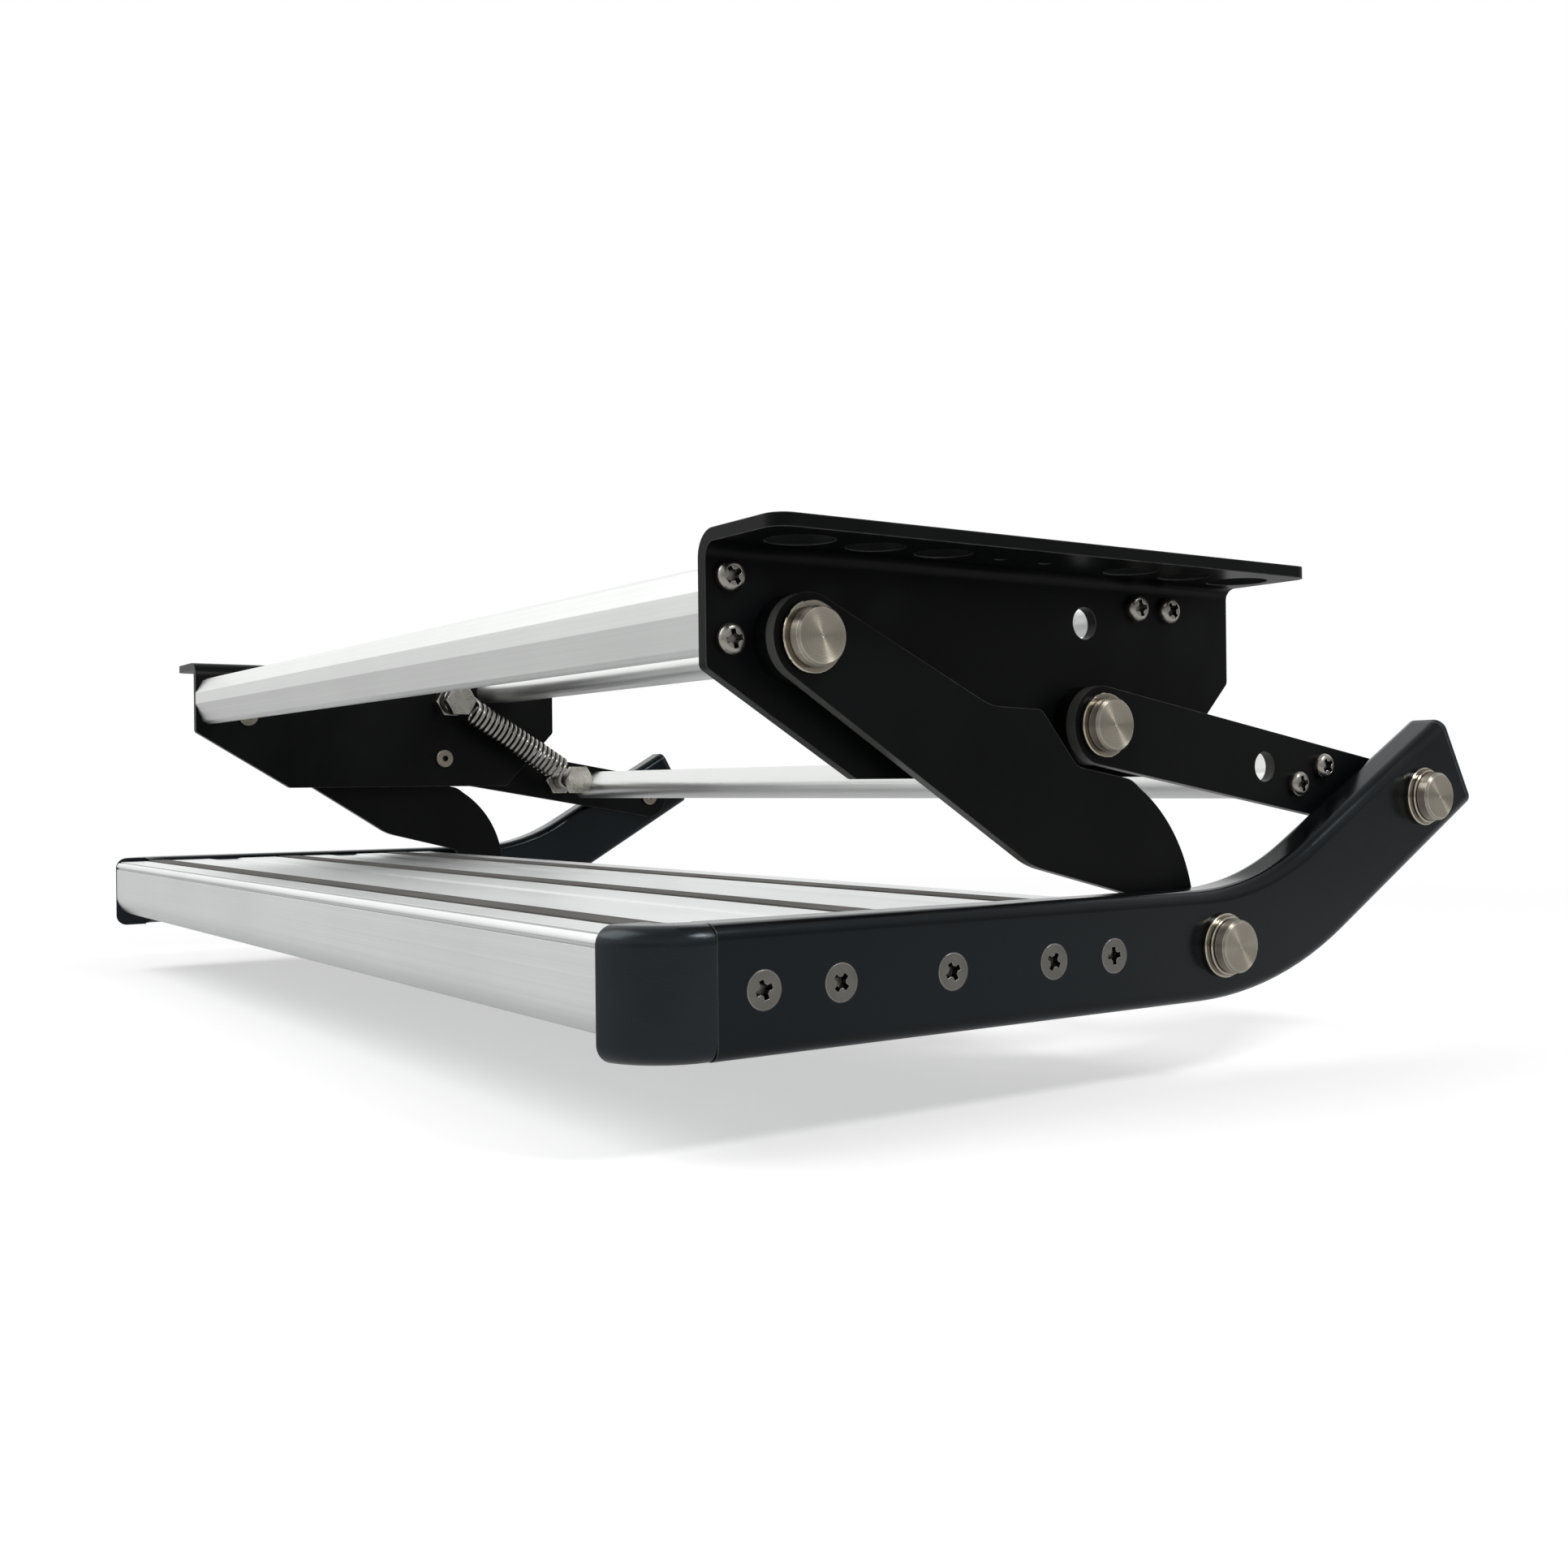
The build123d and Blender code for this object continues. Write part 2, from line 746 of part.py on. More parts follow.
# Nosing: the front extrusion, rounded under and held at its ends by the corner pieces
nosing_end = rail_inside - corner_inner_gap
nosing_floor = nosing_bottom_radius / 2
nosing_chamber_centre = (
    (nosing_front + nosing_rear) / 2,
    (tread_top - plank_wall + tread_bottom + nosing_floor) / 2,
)
nosing_chamber_depth = nosing_rear - nosing_front - 2 * plank_wall
nosing_chamber_height = tread_height - plank_wall - nosing_floor
nosing_chamber_radius = nosing_chamber_depth * 0.4
with BuildPart() as nosing:
    with BuildSketch(Plane.YZ.offset(-nosing_end)) as nosing_section:
        with BuildLine():
            Polyline(
                (nosing_front, tread_top),
                (nosing_rear, tread_top),
                (nosing_rear, tread_bottom),
                (nosing_front, tread_bottom),
                close=True,
            )
        make_face()
        front_corners = nosing_section.vertices().group_by(Axis.X)[0].sort_by(Axis.Y)
        fillet(front_corners[0], nosing_bottom_radius)
        front_corners = nosing_section.vertices().group_by(Axis.X)[0].sort_by(Axis.Y)
        fillet(front_corners[-1], nosing_top_radius)
        with Locations(nosing_chamber_centre):
            RectangleRounded(
                nosing_chamber_depth,
                nosing_chamber_height,
                nosing_chamber_radius,
                mode=Mode.SUBTRACT,
            )
        with Locations((nosing_front, tread_top - nosing_top_radius - groove_width / 2)):
            Rectangle(2 * groove_depth, groove_width, mode=Mode.SUBTRACT)
        with Locations((nosing_front + nosing_groove_distance, tread_top)):
            Rectangle(groove_width, 2 * groove_depth, mode=Mode.SUBTRACT)
    extrude(amount=2 * nosing_end)
save(nosing.part, "nosing")


# Corner piece: the rail's section carried round the corner, with spigots for rail and nosing
corner_line = corner_front + rail_width / 2
corner_turn = corner_plan_radius - rail_width / 2
corner_inset = corner_turn * (1 - cos(pi / 4))
spigot_gap = 2 * (rail_wall + plug_clearance)
with BuildPart() as corner_piece:
    with BuildLine(Plane.XY.offset(rail_level)):
        FilletPolyline(
            (rail_middle, rail_front),
            (rail_middle, corner_line),
            (rail_middle - 2 * corner_turn, corner_line),
            radius=corner_turn,
        )
    with BuildSketch(Plane(rail_front_plane.origin, x_dir=(1, 0, 0), z_dir=(0, -1, 0))):
        RectangleRounded(rail_width, rail_height, corner_edge_radius)
    sweep()
    with BuildSketch(Plane.XY.offset(rail_level - rail_height / 2)):
        Polygon(
            (nosing_end + plank_gap, corner_line),
            (rail_middle - corner_turn, corner_line),
            (rail_middle - corner_inset, corner_line + corner_inset),
            (rail_middle - corner_inset, nosing_rear),
            (nosing_end + plank_gap, nosing_rear),
            align=None,
        )
    extrude(amount=rail_height)
    split(bisect_by=Plane.YZ.offset(nosing_end + plank_gap), keep=Keep.TOP)
    with BuildSketch(Plane.XY.offset(rail_level - rail_height / 2)):
        with Locations((nosing_end, nosing_rear)):
            Rectangle(rail_inside - nosing_end, corner_turn, align=Align.MIN)
    extrude(amount=rail_height, mode=Mode.SUBTRACT)
    with BuildSketch(rail_front_plane):
        RectangleRounded(
            rail_width - spigot_gap, rail_height - spigot_gap, rail_corner_radius - rail_wall
        )
    extrude(amount=corner_spigot)
    with BuildSketch(Plane.YZ.offset(nosing_end + plank_gap)):
        with Locations(nosing_chamber_centre):
            RectangleRounded(
                nosing_chamber_depth - 2 * plug_clearance,
                nosing_chamber_height - 2 * plug_clearance,
                nosing_chamber_radius,
            )
    extrude(amount=-corner_spigot)
save_pair(corner_piece.part, "corner_piece")


# Screws of the planks, and the pins, washers and retaining screws of the pivots
save(
    placed_on_both_sides(
        countersunk_screw.part,
        turned_planes(rail_outside, plank_screw_points, plank_screw_turns),
    ),
    "plank_screws",
)

frame_pin_seat = {
    "front_pivot": (front_pivot, front_link_outside),
    "rear_pivot": (rear_pivot, rear_link_outside),
}
for name, (point, link_face) in frame_pin_seat.items():
    head_face = link_face + fit_clearance + washer_thickness
    save(
        placed_on_both_sides(
            pivot_pin(head_face - web_outside), [outward(head_face, point)]
        ),
        f"{name}_pins",
    )
    save(
        placed_on_both_sides(
            washer(washer_diameter, washer_thickness), [outward(link_face + fit_clearance, point)]
        ),
        f"{name}_washers",
    )
    save(
        placed_on_both_sides(retaining_screw.part, [inward(web_inside, point)]),
        f"{name}_screws",
    )

tread_head_face = rail_outside + 2 * washer_thickness
tread_pin_end = {
    "tread_front_pivot": (tread_front_pivot, rail_inside),
    "tread_rear_pivot": (tread_rear_pivot, rear_link_inside - fit_clearance),
}
for name, (point, inner_end) in tread_pin_end.items():
    save(
        placed_on_both_sides(
            pivot_pin(tread_head_face - inner_end), [outward(tread_head_face, point)]
        ),
        f"{name}_pins",
    )
    with BuildPart() as washers:
        with Locations(outward(rail_outside, point)):
            add(washer(washer_diameter, washer_thickness))
        with Locations(outward(rail_outside + washer_thickness, point)):
            add(washer(inner_washer_diameter, washer_thickness))
        mirror(about=Plane.YZ)
    save(washers.part, f"{name}_washers")
save(
    placed_on_both_sides(
        retaining_screw.part, [inward(rear_link_inside - fit_clearance, tread_rear_pivot)]
    ),
    "tread_rear_pivot_screws",
)

# The front tread pivot is drawn in two parts, so that the link can leave the rail between its
# two end positions: a stub fills the hole of the link, and the pin ends at the rail
with BuildPart() as link_stub:
    Cylinder(
        barrel_diameter / 2, plate + fit_clearance, align=(Align.CENTER, Align.CENTER, Align.MIN)
    )
    Cylinder(
        retaining_head_diameter / 2,
        retaining_head_height,
        align=(Align.CENTER, Align.CENTER, Align.MAX),
    )
save(
    placed_on_both_sides(
        link_stub.part, [outward(front_link_inside - fit_clearance, tread_front_pivot)]
    ),
    "tread_front_pivot_stubs",
)


# Spring bolts on the left side, with the heads towards the middle of the step
hook_plane = -(web_inside - spring_hook_plane)
head_seat = hook_plane + spring_wire / 2 + hook_clearance
upper_bolt_length = head_seat + web_outside + thin_nut_height + bolt_end
lower_bolt_length = head_seat + rear_link_outside + thin_nut_height + bolt_end


def left_inward(x, point):
    """A plane on the left side at x, facing the middle of the step."""
    return Plane(origin=(x, point[0], point[1]), x_dir=(0, 1, 0), z_dir=(1, 0, 0))


def bolt_group(length, point):
    with BuildPart() as group:
        with Locations(left_inward(head_seat, point)):
            add(hexagon_bolt(length))
    return group.part


def nut_group(inner_face, inner_height, outer_face, point):
    """A nut on each face of the plate that holds the bolt."""
    with BuildPart() as group:
        with Locations(left_inward(-inner_face, point)):
            add(hexagon_nut(inner_height))
        with Locations(left_inward(-outer_face - thin_nut_height, point)):
            add(hexagon_nut(thin_nut_height))
    return group.part


save(bolt_group(upper_bolt_length, upper_spring_point), "upper_spring_bolt")
save(bolt_group(lower_bolt_length, lower_spring_point), "lower_spring_bolt")
save(nut_group(web_inside, nut_height, web_outside, upper_spring_point), "upper_spring_nuts")
save(
    nut_group(rear_link_inside, thin_nut_height, rear_link_outside, lower_spring_point),
    "lower_spring_nuts",
)


# Tension spring: a hook round each bolt and an evenly wound coil between them
spring_length = hypot(
    lower_spring_point[0] - upper_spring_point[0], lower_spring_point[1] - upper_spring_point[1]
)
spring_angle = atan2(
    lower_spring_point[1] - upper_spring_point[1], lower_spring_point[0] - upper_spring_point[0]
)
coil_radius = (spring_outer_diameter - spring_wire) / 2
coil_start = bolt_head_flats / sqrt(3) + 1.3 * spring_wire
coil_length = spring_length - 2 * coil_start
coil_turns = spring_turns + 0.25
coil_pitch = coil_length / coil_turns
bend_run = 2 * spring_wire


def spring_vector(distance, offset, across):
    """A direction given along the spring, square to it in the side view, and across the step."""
    return Vector(
        across,
        distance * cos(spring_angle) - offset * sin(spring_angle),
        distance * sin(spring_angle) + offset * cos(spring_angle),
    )


def spring_place(distance, offset, across):
    return Vector(hook_plane, *upper_spring_point) + spring_vector(distance, offset, across)


def coil_place(turns):
    angle = 2 * pi * turns + pi / 4
    return spring_place(
        coil_start + coil_pitch * turns, coil_radius * cos(angle), coil_radius * sin(angle)
    )


def coil_direction(turns):
    angle = 2 * pi * turns + pi / 4
    return spring_vector(
        coil_pitch / (2 * pi), -coil_radius * sin(angle), coil_radius * cos(angle)
    ).normalized()


def biarc(start, start_direction, end, end_direction):
    """Two arcs that leave start and reach end in the given directions and share a tangent."""
    chord = end - start
    both = start_direction + end_direction
    bend = 2 * (1 - start_direction.dot(end_direction))
    reach = (-chord.dot(both) + sqrt(chord.dot(both) ** 2 + bend * chord.dot(chord))) / bend
    middle = (start + start_direction * reach + end - end_direction * reach) / 2
    middle_direction = end - end_direction * reach - start - start_direction * reach
    TangentArc(start, middle, tangent=start_direction)
    TangentArc(middle, end, tangent=middle_direction)


def hook_arcs(centre, side):
    """The loop of a hook round its bolt, from its free end to the straight; side is 1 or -1."""
    angles = [radians(angle) for angle in hook_loop_ends]
    places = [
        spring_place(
            centre + side * coil_radius * cos(angle), side * coil_radius * sin(angle), 0
        )
        for angle in angles
    ]
    first = spring_vector(side * sin(angles[0]), -side * cos(angles[0]), 0)
    second = spring_vector(side * sin(angles[1]), -side * cos(angles[1]), 0)
    TangentArc(places[0], places[1], tangent=first)
    TangentArc(places[1], places[2], tangent=second)


with BuildPart() as tension_spring:
    with BuildLine() as coil_line:
        hook_arcs(0, 1)
        hook_top = spring_place(0, coil_radius, 0)
        straight_end = spring_place(coil_start - bend_run, coil_radius, 0)
        Line(hook_top, straight_end)
        biarc(straight_end, spring_vector(1, 0, 0), coil_place(0), coil_direction(0))
        steps = [half / 2 for half in range(2 * spring_turns + 1)] + [coil_turns]
        for start, end in zip(steps, steps[1:]):
            biarc(coil_place(start), coil_direction(start), coil_place(end), coil_direction(end))
    with BuildSketch(Plane(coil_line.line @ 0, z_dir=coil_line.line % 0)):
        Circle(spring_wire / 2)
    sweep()
save(tension_spring.part, "tension_spring")

with BuildPart() as spring_lower_hook:
    with BuildLine() as hook_line:
        hook_arcs(spring_length, -1)
        hook_top = spring_place(spring_length, -coil_radius, 0)
        straight_end = spring_place(spring_length - coil_start + bend_run, -coil_radius, 0)
        Line(hook_top, straight_end)
        biarc(
            straight_end,
            spring_vector(-1, 0, 0),
            coil_place(coil_turns),
            coil_direction(coil_turns) * -1,
        )
    with BuildSketch(Plane(hook_line.line @ 0, z_dir=hook_line.line % 0)):
        Circle(spring_wire / 2)
    sweep()
save(spring_lower_hook.part, "spring_lower_hook")


def least_gap(edges):
    """The least gap of the wire to itself, between points a third of a turn or more apart."""
    spots = [edge @ (i / 6) for edge in edges for i in range(6)]
    step = sum(edge.length for edge in edges) / len(spots)
    third_of_turn = ceil(2 * pi * coil_radius / 3 / step)
    distances = [
        (spots[i] - spots[j]).length
        for i in range(len(spots))
        for j in range(i + third_of_turn, min(i + 6 * third_of_turn, len(spots)))
    ]
    return min(distances) - spring_wire


spring_edges = coil_line.edges() + hook_line.edges()
bends = [edge.radius for edge in spring_edges if edge.geom_type == GeomType.CIRCLE]
print(f"spring: pitch {coil_pitch:.2f}, least gap {least_gap(coil_line.edges()):.2f} mm")
print(f"spring: tightest bend {min(bends):.2f} mm, wire {spring_wire:.2f} mm")
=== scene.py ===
import json
from math import atan2, cos, hypot, pi, radians, sin, sqrt
import bpy
from bpy.props import FloatProperty, FloatVectorProperty, IntProperty, PointerProperty
from bpy.types import Operator, Panel, PropertyGroup
from mathutils import Matrix, Vector

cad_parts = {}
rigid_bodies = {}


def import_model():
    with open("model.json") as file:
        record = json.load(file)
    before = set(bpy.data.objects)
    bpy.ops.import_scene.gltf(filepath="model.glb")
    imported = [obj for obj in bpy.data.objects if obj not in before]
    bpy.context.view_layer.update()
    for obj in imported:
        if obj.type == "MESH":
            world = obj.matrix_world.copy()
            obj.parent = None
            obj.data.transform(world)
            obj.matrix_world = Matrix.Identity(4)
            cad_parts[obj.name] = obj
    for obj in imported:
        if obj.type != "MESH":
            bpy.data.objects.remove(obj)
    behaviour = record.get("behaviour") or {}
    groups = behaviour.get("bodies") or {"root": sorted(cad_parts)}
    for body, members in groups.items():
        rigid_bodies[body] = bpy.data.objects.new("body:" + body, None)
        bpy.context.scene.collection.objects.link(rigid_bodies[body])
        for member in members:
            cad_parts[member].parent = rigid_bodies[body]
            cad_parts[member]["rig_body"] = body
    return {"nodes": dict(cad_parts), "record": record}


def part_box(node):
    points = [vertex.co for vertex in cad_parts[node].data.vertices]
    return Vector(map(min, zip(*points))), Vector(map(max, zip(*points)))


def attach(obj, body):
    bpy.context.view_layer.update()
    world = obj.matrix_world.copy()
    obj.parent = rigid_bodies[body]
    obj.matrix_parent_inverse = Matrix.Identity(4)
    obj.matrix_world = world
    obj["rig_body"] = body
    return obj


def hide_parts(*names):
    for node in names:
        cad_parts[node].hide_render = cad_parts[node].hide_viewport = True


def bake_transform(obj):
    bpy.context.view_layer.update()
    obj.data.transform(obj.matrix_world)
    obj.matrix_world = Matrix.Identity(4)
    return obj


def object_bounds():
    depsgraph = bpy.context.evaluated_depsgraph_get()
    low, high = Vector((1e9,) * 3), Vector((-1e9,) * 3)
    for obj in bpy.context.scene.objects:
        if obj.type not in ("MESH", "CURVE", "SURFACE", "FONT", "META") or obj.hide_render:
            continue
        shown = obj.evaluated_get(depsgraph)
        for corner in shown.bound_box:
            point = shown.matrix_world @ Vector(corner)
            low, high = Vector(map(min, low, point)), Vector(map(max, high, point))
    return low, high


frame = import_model()
cad_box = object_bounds()

bl_info = {
    "name": "Camper entry step",
    "version": (1, 0, 0),
    "blender": (4, 5, 0),
    "location": "3D View > Sidebar > Entry step",
    "description": "Models the turned pins and the spring of a fold-out step and finishes it",
    "category": "Object",
}

# Every length is in metres, in the frame of the CAD model: X across the step,
# Y towards the vehicle and Z up.


class CoatSettings(PropertyGroup):
    """Black coats and mouldings."""

    plate_color: FloatVectorProperty(
        name="Plate colour",
        description="Colour of the coat on brackets, links and rails",
        subtype="COLOR",
        size=3,
        min=0,
        max=1,
        default=(0.0024, 0.0027, 0.0032),
    )
    plastic_color: FloatVectorProperty(
        name="Moulding colour",
        description="Colour of the corner pieces and end caps",
        subtype="COLOR",
        size=3,
        min=0,
        max=1,
        default=(0.0040, 0.0048, 0.0060),
    )
    rubber_color: FloatVectorProperty(
        name="Grip strip colour",
        description="Colour of the strips in the tread",
        subtype="COLOR",
        size=3,
        min=0,
        max=1,
        default=(0.075, 0.073, 0.068),
    )
    edge_radius: FloatProperty(
        name="Edge rounding",
        description="Radius that sheared and sawn edges show in the light",
        subtype="DISTANCE",
        unit="LENGTH",
        min=0,
        default=0.0005,
    )


class MetalSettings(PropertyGroup):
    """Bare and plated metals."""

    tube_color: FloatVectorProperty(
        name="Tube colour",
        description="Colour of the anodised cross tubes",
        subtype="COLOR",
        size=3,
        min=0,
        max=1,
        default=(0.72, 0.73, 0.72),
    )
    tread_color: FloatVectorProperty(
        name="Tread colour",
        description="Colour of the anodised planks and nosing",
        subtype="COLOR",
        size=3,
        min=0,
        max=1,
        default=(0.76, 0.77, 0.77),
    )
    turned_color: FloatVectorProperty(
        name="Turned steel colour",
        description="Colour of the pivot pins; washers, stubs and retaining screws follow it",
        subtype="COLOR",
        size=3,
        min=0,
        max=1,
        default=(0.38, 0.345, 0.285),
    )
    zinc_color: FloatVectorProperty(
        name="Zinc colour",
        description="Colour of the plated screws, bolts and nuts",
        subtype="COLOR",
        size=3,
        min=0,
        max=1,
        default=(0.40, 0.38, 0.345),
    )
    spring_color: FloatVectorProperty(
        name="Spring colour",
        description="Colour of the spring wire",
        subtype="COLOR",
        size=3,
        min=0,
        max=1,
        default=(0.42, 0.41, 0.385),
    )


class PinSettings(PropertyGroup):
    """Turned pivot pins."""

    face_chamfer: FloatProperty(
        name="Rim chamfer",
        description="Width of the bevel round the face of a pin's head",
        subtype="DISTANCE",
        unit="LENGTH",
        min=0,
        default=0.0008,
    )
    corners: IntProperty(
        name="Sides of a turned piece",
        description="Number of straight sides that stand for a full turn",
        min=24,
        max=128,
        default=72,
    )


class SpringSettings(PropertyGroup):
    """Tension spring between its two bolts."""

    wire: FloatProperty(
        name="Wire",
        description="Diameter of the spring wire",
        subtype="DISTANCE",
        unit="LENGTH",
        min=0.0005,
        default=0.0025,
    )
    outside: FloatProperty(
        name="Outside",
        description="Outside diameter of the coil",
        subtype="DISTANCE",
        unit="LENGTH",
        min=0.005,
        default=0.0175,
    )
    turns: FloatProperty(
        name="Turns", description="Number of turns of the coil", min=1, default=20.25
    )


class StageSettings(PropertyGroup):
    """Floor, lamps and camera."""

    ambient: FloatProperty(
        name="Room light",
        description="Strength of the light that comes from all round",
        min=0,
        default=0.45,
    )
    lamp_power: FloatProperty(
        name="Lamp power",
        description="Power of the large soft lamp above and in front of the step",
        subtype="POWER",
        unit="POWER",
        min=0,
        default=15.5,
    )
    side_power: FloatProperty(
        name="Side lamp power",
        description="Power of the small lamp that fans out on the turned faces",
        subtype="POWER",
        unit="POWER",
        min=0,
        default=6.0,
    )
    floor_drop: FloatProperty(
        name="Floor below the step",
        description="Room under the stowed step, so that the tread clears the floor folded out",
        subtype="DISTANCE",
        unit="LENGTH",
        min=0,
        default=0.027,
    )
    floor_size: FloatProperty(
        name="Floor size",
        description="Length of the sides of the floor",
        subtype="DISTANCE",
        unit="LENGTH",
        min=1,
        default=12.0,
    )


SETTINGS = {
    "step_coats": CoatSettings,
    "step_metals": MetalSettings,
    "step_pins": PinSettings,
    "step_spring": SpringSettings,
    "step_stage": StageSettings,
}


# Shader nodes


def socket_value(tree, socket, value):
    """Sets a socket to a value, or links it when the value is another socket."""
    if isinstance(value, bpy.types.NodeSocket):
        tree.links.new(value, socket)
    else:
        socket.default_value = value


def add_node(tree, kind, values=None, **settings):
    """A new node with its settings and with values or links for its inputs, by name or place."""
    node = tree.nodes.new(kind)
    for name, setting in settings.items():
        setattr(node, name, setting)
    for name, value in (values or {}).items():
        socket_value(tree, node.inputs[name], value)
    return node


def math(tree, operation, *values):
    """The output of a math node."""
    node = add_node(tree, "ShaderNodeMath", operation=operation)
    for place, value in enumerate(values):
        socket_value(tree, node.inputs[place], value)
    return node.outputs[0]


def spread(tree, value, low, high, to_low, to_high):
    """A value carried from one range to another and held inside it."""
    return add_node(
        tree,
        "ShaderNodeMapRange",
        {
            "Value": value,
            "From Min": low,
            "From Max": high,
            "To Min": to_low,
            "To Max": to_high,
        },
    ).outputs[0]


def mixed_color(tree, factor, first, second):
    """Two colours mixed by a mask."""
    node = add_node(tree, "ShaderNodeMix", data_type="RGBA")
    # By number, because the node has sockets of one name for each kind of value
    socket_value(tree, node.inputs[0], factor)
    socket_value(tree, node.inputs[6], first)
    socket_value(tree, node.inputs[7], second)
    return node.outputs[2]


def new_group(name, inputs, outputs):
    """An empty shader node group with named sockets, and its two end nodes."""
    tree = bpy.data.node_groups.new(name, "ShaderNodeTree")
    for label, kind, default in inputs:
        socket = tree.interface.new_socket(label, in_out="INPUT", socket_type=kind)
        socket.default_value = default
    for label, kind in outputs:
        tree.interface.new_socket(label, in_out="OUTPUT", socket_type=kind)
    start = tree.nodes.new("NodeGroupInput")
    end = tree.nodes.new("NodeGroupOutput")
    return tree, start, end


FLOAT = "NodeSocketFloat"
VECTOR = "NodeSocketVector"


def object_place(tree, scale):
    """The place on the piece, stretched along its three axes."""
    place = tree.nodes.new("ShaderNodeTexCoord").outputs["Object"]
    return add_node(tree, "ShaderNodeMapping", {"Vector": place, "Scale": scale}).outputs[0]


def make_soft_edges():
    """Rounds edges in the light and finds where they are."""
    tree, start, end = new_group(
        "soft_edges",
        [("Radius", FLOAT, 0.0004), ("Breakup", FLOAT, 0.5)],
        [("Normal", VECTOR), ("Edge", FLOAT)],
    )
    rounded = add_node(
        tree, "ShaderNodeBevel", {"Radius": start.outputs["Radius"]}, samples=4
    ).outputs[0]
    flat = tree.nodes.new("ShaderNodeNewGeometry").outputs["Normal"]
    dot = add_node(
        tree, "ShaderNodeVectorMath", {0: rounded, 1: flat}, operation="DOT_PRODUCT"
    ).outputs["Value"]
    bend = spread(tree, dot, 0.995, 0.90, 0.0, 1.0)
    noise = add_node(
        tree,
        "ShaderNodeTexNoise",
        {"Vector": object_place(tree, (1, 1, 1)), "Scale": 180.0, "Detail": 4.0},
    ).outputs["Fac"]
    # Noise breaks up the edges that the finishes paint lighter, partly scuffs and a painted
    # highlight
    edge_patches = spread(tree, noise, 0.35, 0.65, 0.0, 1.0)
    kept = math(tree, "SUBTRACT", 1.0, math(tree, "MULTIPLY", start.outputs["Breakup"], edge_patches))
    tree.links.new(rounded, end.inputs["Normal"])
    tree.links.new(math(tree, "MULTIPLY", bend, kept), end.inputs["Edge"])
    return tree


def make_fine_grain():
    """The orange peel of a powder coat, or the grain of a moulding."""
    tree, start, end = new_group(
        "fine_grain",
        [("Grain size", FLOAT, 0.0008), ("Patch size", FLOAT, 0.05)],
        [("Height", FLOAT), ("Patch", FLOAT)],
    )
    place = object_place(tree, (1, 1, 1))
    grain = add_node(
        tree,
        "ShaderNodeTexNoise",
        {
            "Vector": place,
            "Scale": math(tree, "DIVIDE", 1.0, start.outputs["Grain size"]),
            "Detail": 3.0,
            "Roughness": 0.6,
        },
    ).outputs["Fac"]
    patch = add_node(
        tree,
        "ShaderNodeTexNoise",
        {
            "Vector": place,
            "Scale": math(tree, "DIVIDE", 1.0, start.outputs["Patch size"]),
            "Detail": 5.0,
            "Roughness": 0.55,
        },
    ).outputs["Fac"]
    tree.links.new(grain, end.inputs["Height"])
    tree.links.new(patch, end.inputs["Patch"])
    return tree


def make_drawn_lines():
    """Die lines of an extrusion, which run across the step."""
    tree, start, end = new_group(
        "drawn_lines",
        [("Line width", FLOAT, 0.0006), ("Line length", FLOAT, 0.6)],
        [("Height", FLOAT), ("Tone", FLOAT)],
    )
    across = math(tree, "DIVIDE", 1.0, start.outputs["Line width"])
    lengthwise = math(tree, "DIVIDE", 1.0, start.outputs["Line length"])
    scale = add_node(
        tree, "ShaderNodeCombineXYZ", {"X": lengthwise, "Y": across, "Z": across}
    ).outputs[0]
    place = tree.nodes.new("ShaderNodeTexCoord").outputs["Object"]
    stretched = add_node(
        tree, "ShaderNodeVectorMath", {0: place, 1: scale}, operation="MULTIPLY"
    ).outputs[0]
    lines = add_node(
        tree,
        "ShaderNodeTexNoise",
        {"Vector": stretched, "Scale": 1.0, "Detail": 3.0, "Roughness": 0.65},
    ).outputs["Fac"]
    clouds = add_node(
        tree, "ShaderNodeTexNoise", {"Vector": place, "Scale": 14.0, "Detail": 4.0}
    ).outputs["Fac"]
    tree.links.new(lines, end.inputs["Height"])
    fine_part = math(tree, "MULTIPLY", lines, 0.6)
    broad_part = math(tree, "MULTIPLY", clouds, 0.4)
    tree.links.new(math(tree, "ADD", fine_part, broad_part), end.inputs["Tone"])
    return tree


def make_turning_marks():
    """Rings that a lathe leaves, from the distance to the axis that the piece carries."""
    tree, start, end = new_group(
        "turning_marks", [("Ring width", FLOAT, 0.00022)], [("Height", FLOAT), ("Tone", FLOAT)]
    )
    distance = add_node(tree, "ShaderNodeAttribute", attribute_name="from_axis").outputs["Fac"]
    rings = math(tree, "DIVIDE", distance, start.outputs["Ring width"])
    wave = math(tree, "SINE", math(tree, "MULTIPLY", rings, 2 * pi))
    uneven = add_node(
        tree, "ShaderNodeTexNoise", {"W": rings, "Scale": 0.9, "Detail": 3.0}, noise_dimensions="1D"
    ).outputs["Fac"]
    height = math(tree, "ADD", math(tree, "MULTIPLY", wave, 0.3), uneven)
    tree.links.new(height, end.inputs["Height"])
    tree.links.new(uneven, end.inputs["Tone"])
    return tree


def make_recesses():
    """Finds grooves, slots and the crosses of screws, where little light gets in."""
    tree, start, end = new_group("recesses", [("Reach", FLOAT, 0.002)], [("Depth", FLOAT)])
    openness = add_node(
        tree, "ShaderNodeAmbientOcclusion", {"Distance": start.outputs["Reach"]}, samples=8
    ).outputs["AO"]
    tree.links.new(spread(tree, openness, 0.35, 0.85, 1.0, 0.0), end.inputs["Depth"])
    return tree


GROUP_MAKERS = {
    "recesses": make_recesses,
    "soft_edges": make_soft_edges,
    "fine_grain": make_fine_grain,
    "drawn_lines": make_drawn_lines,
    "turning_marks": make_turning_marks,
}


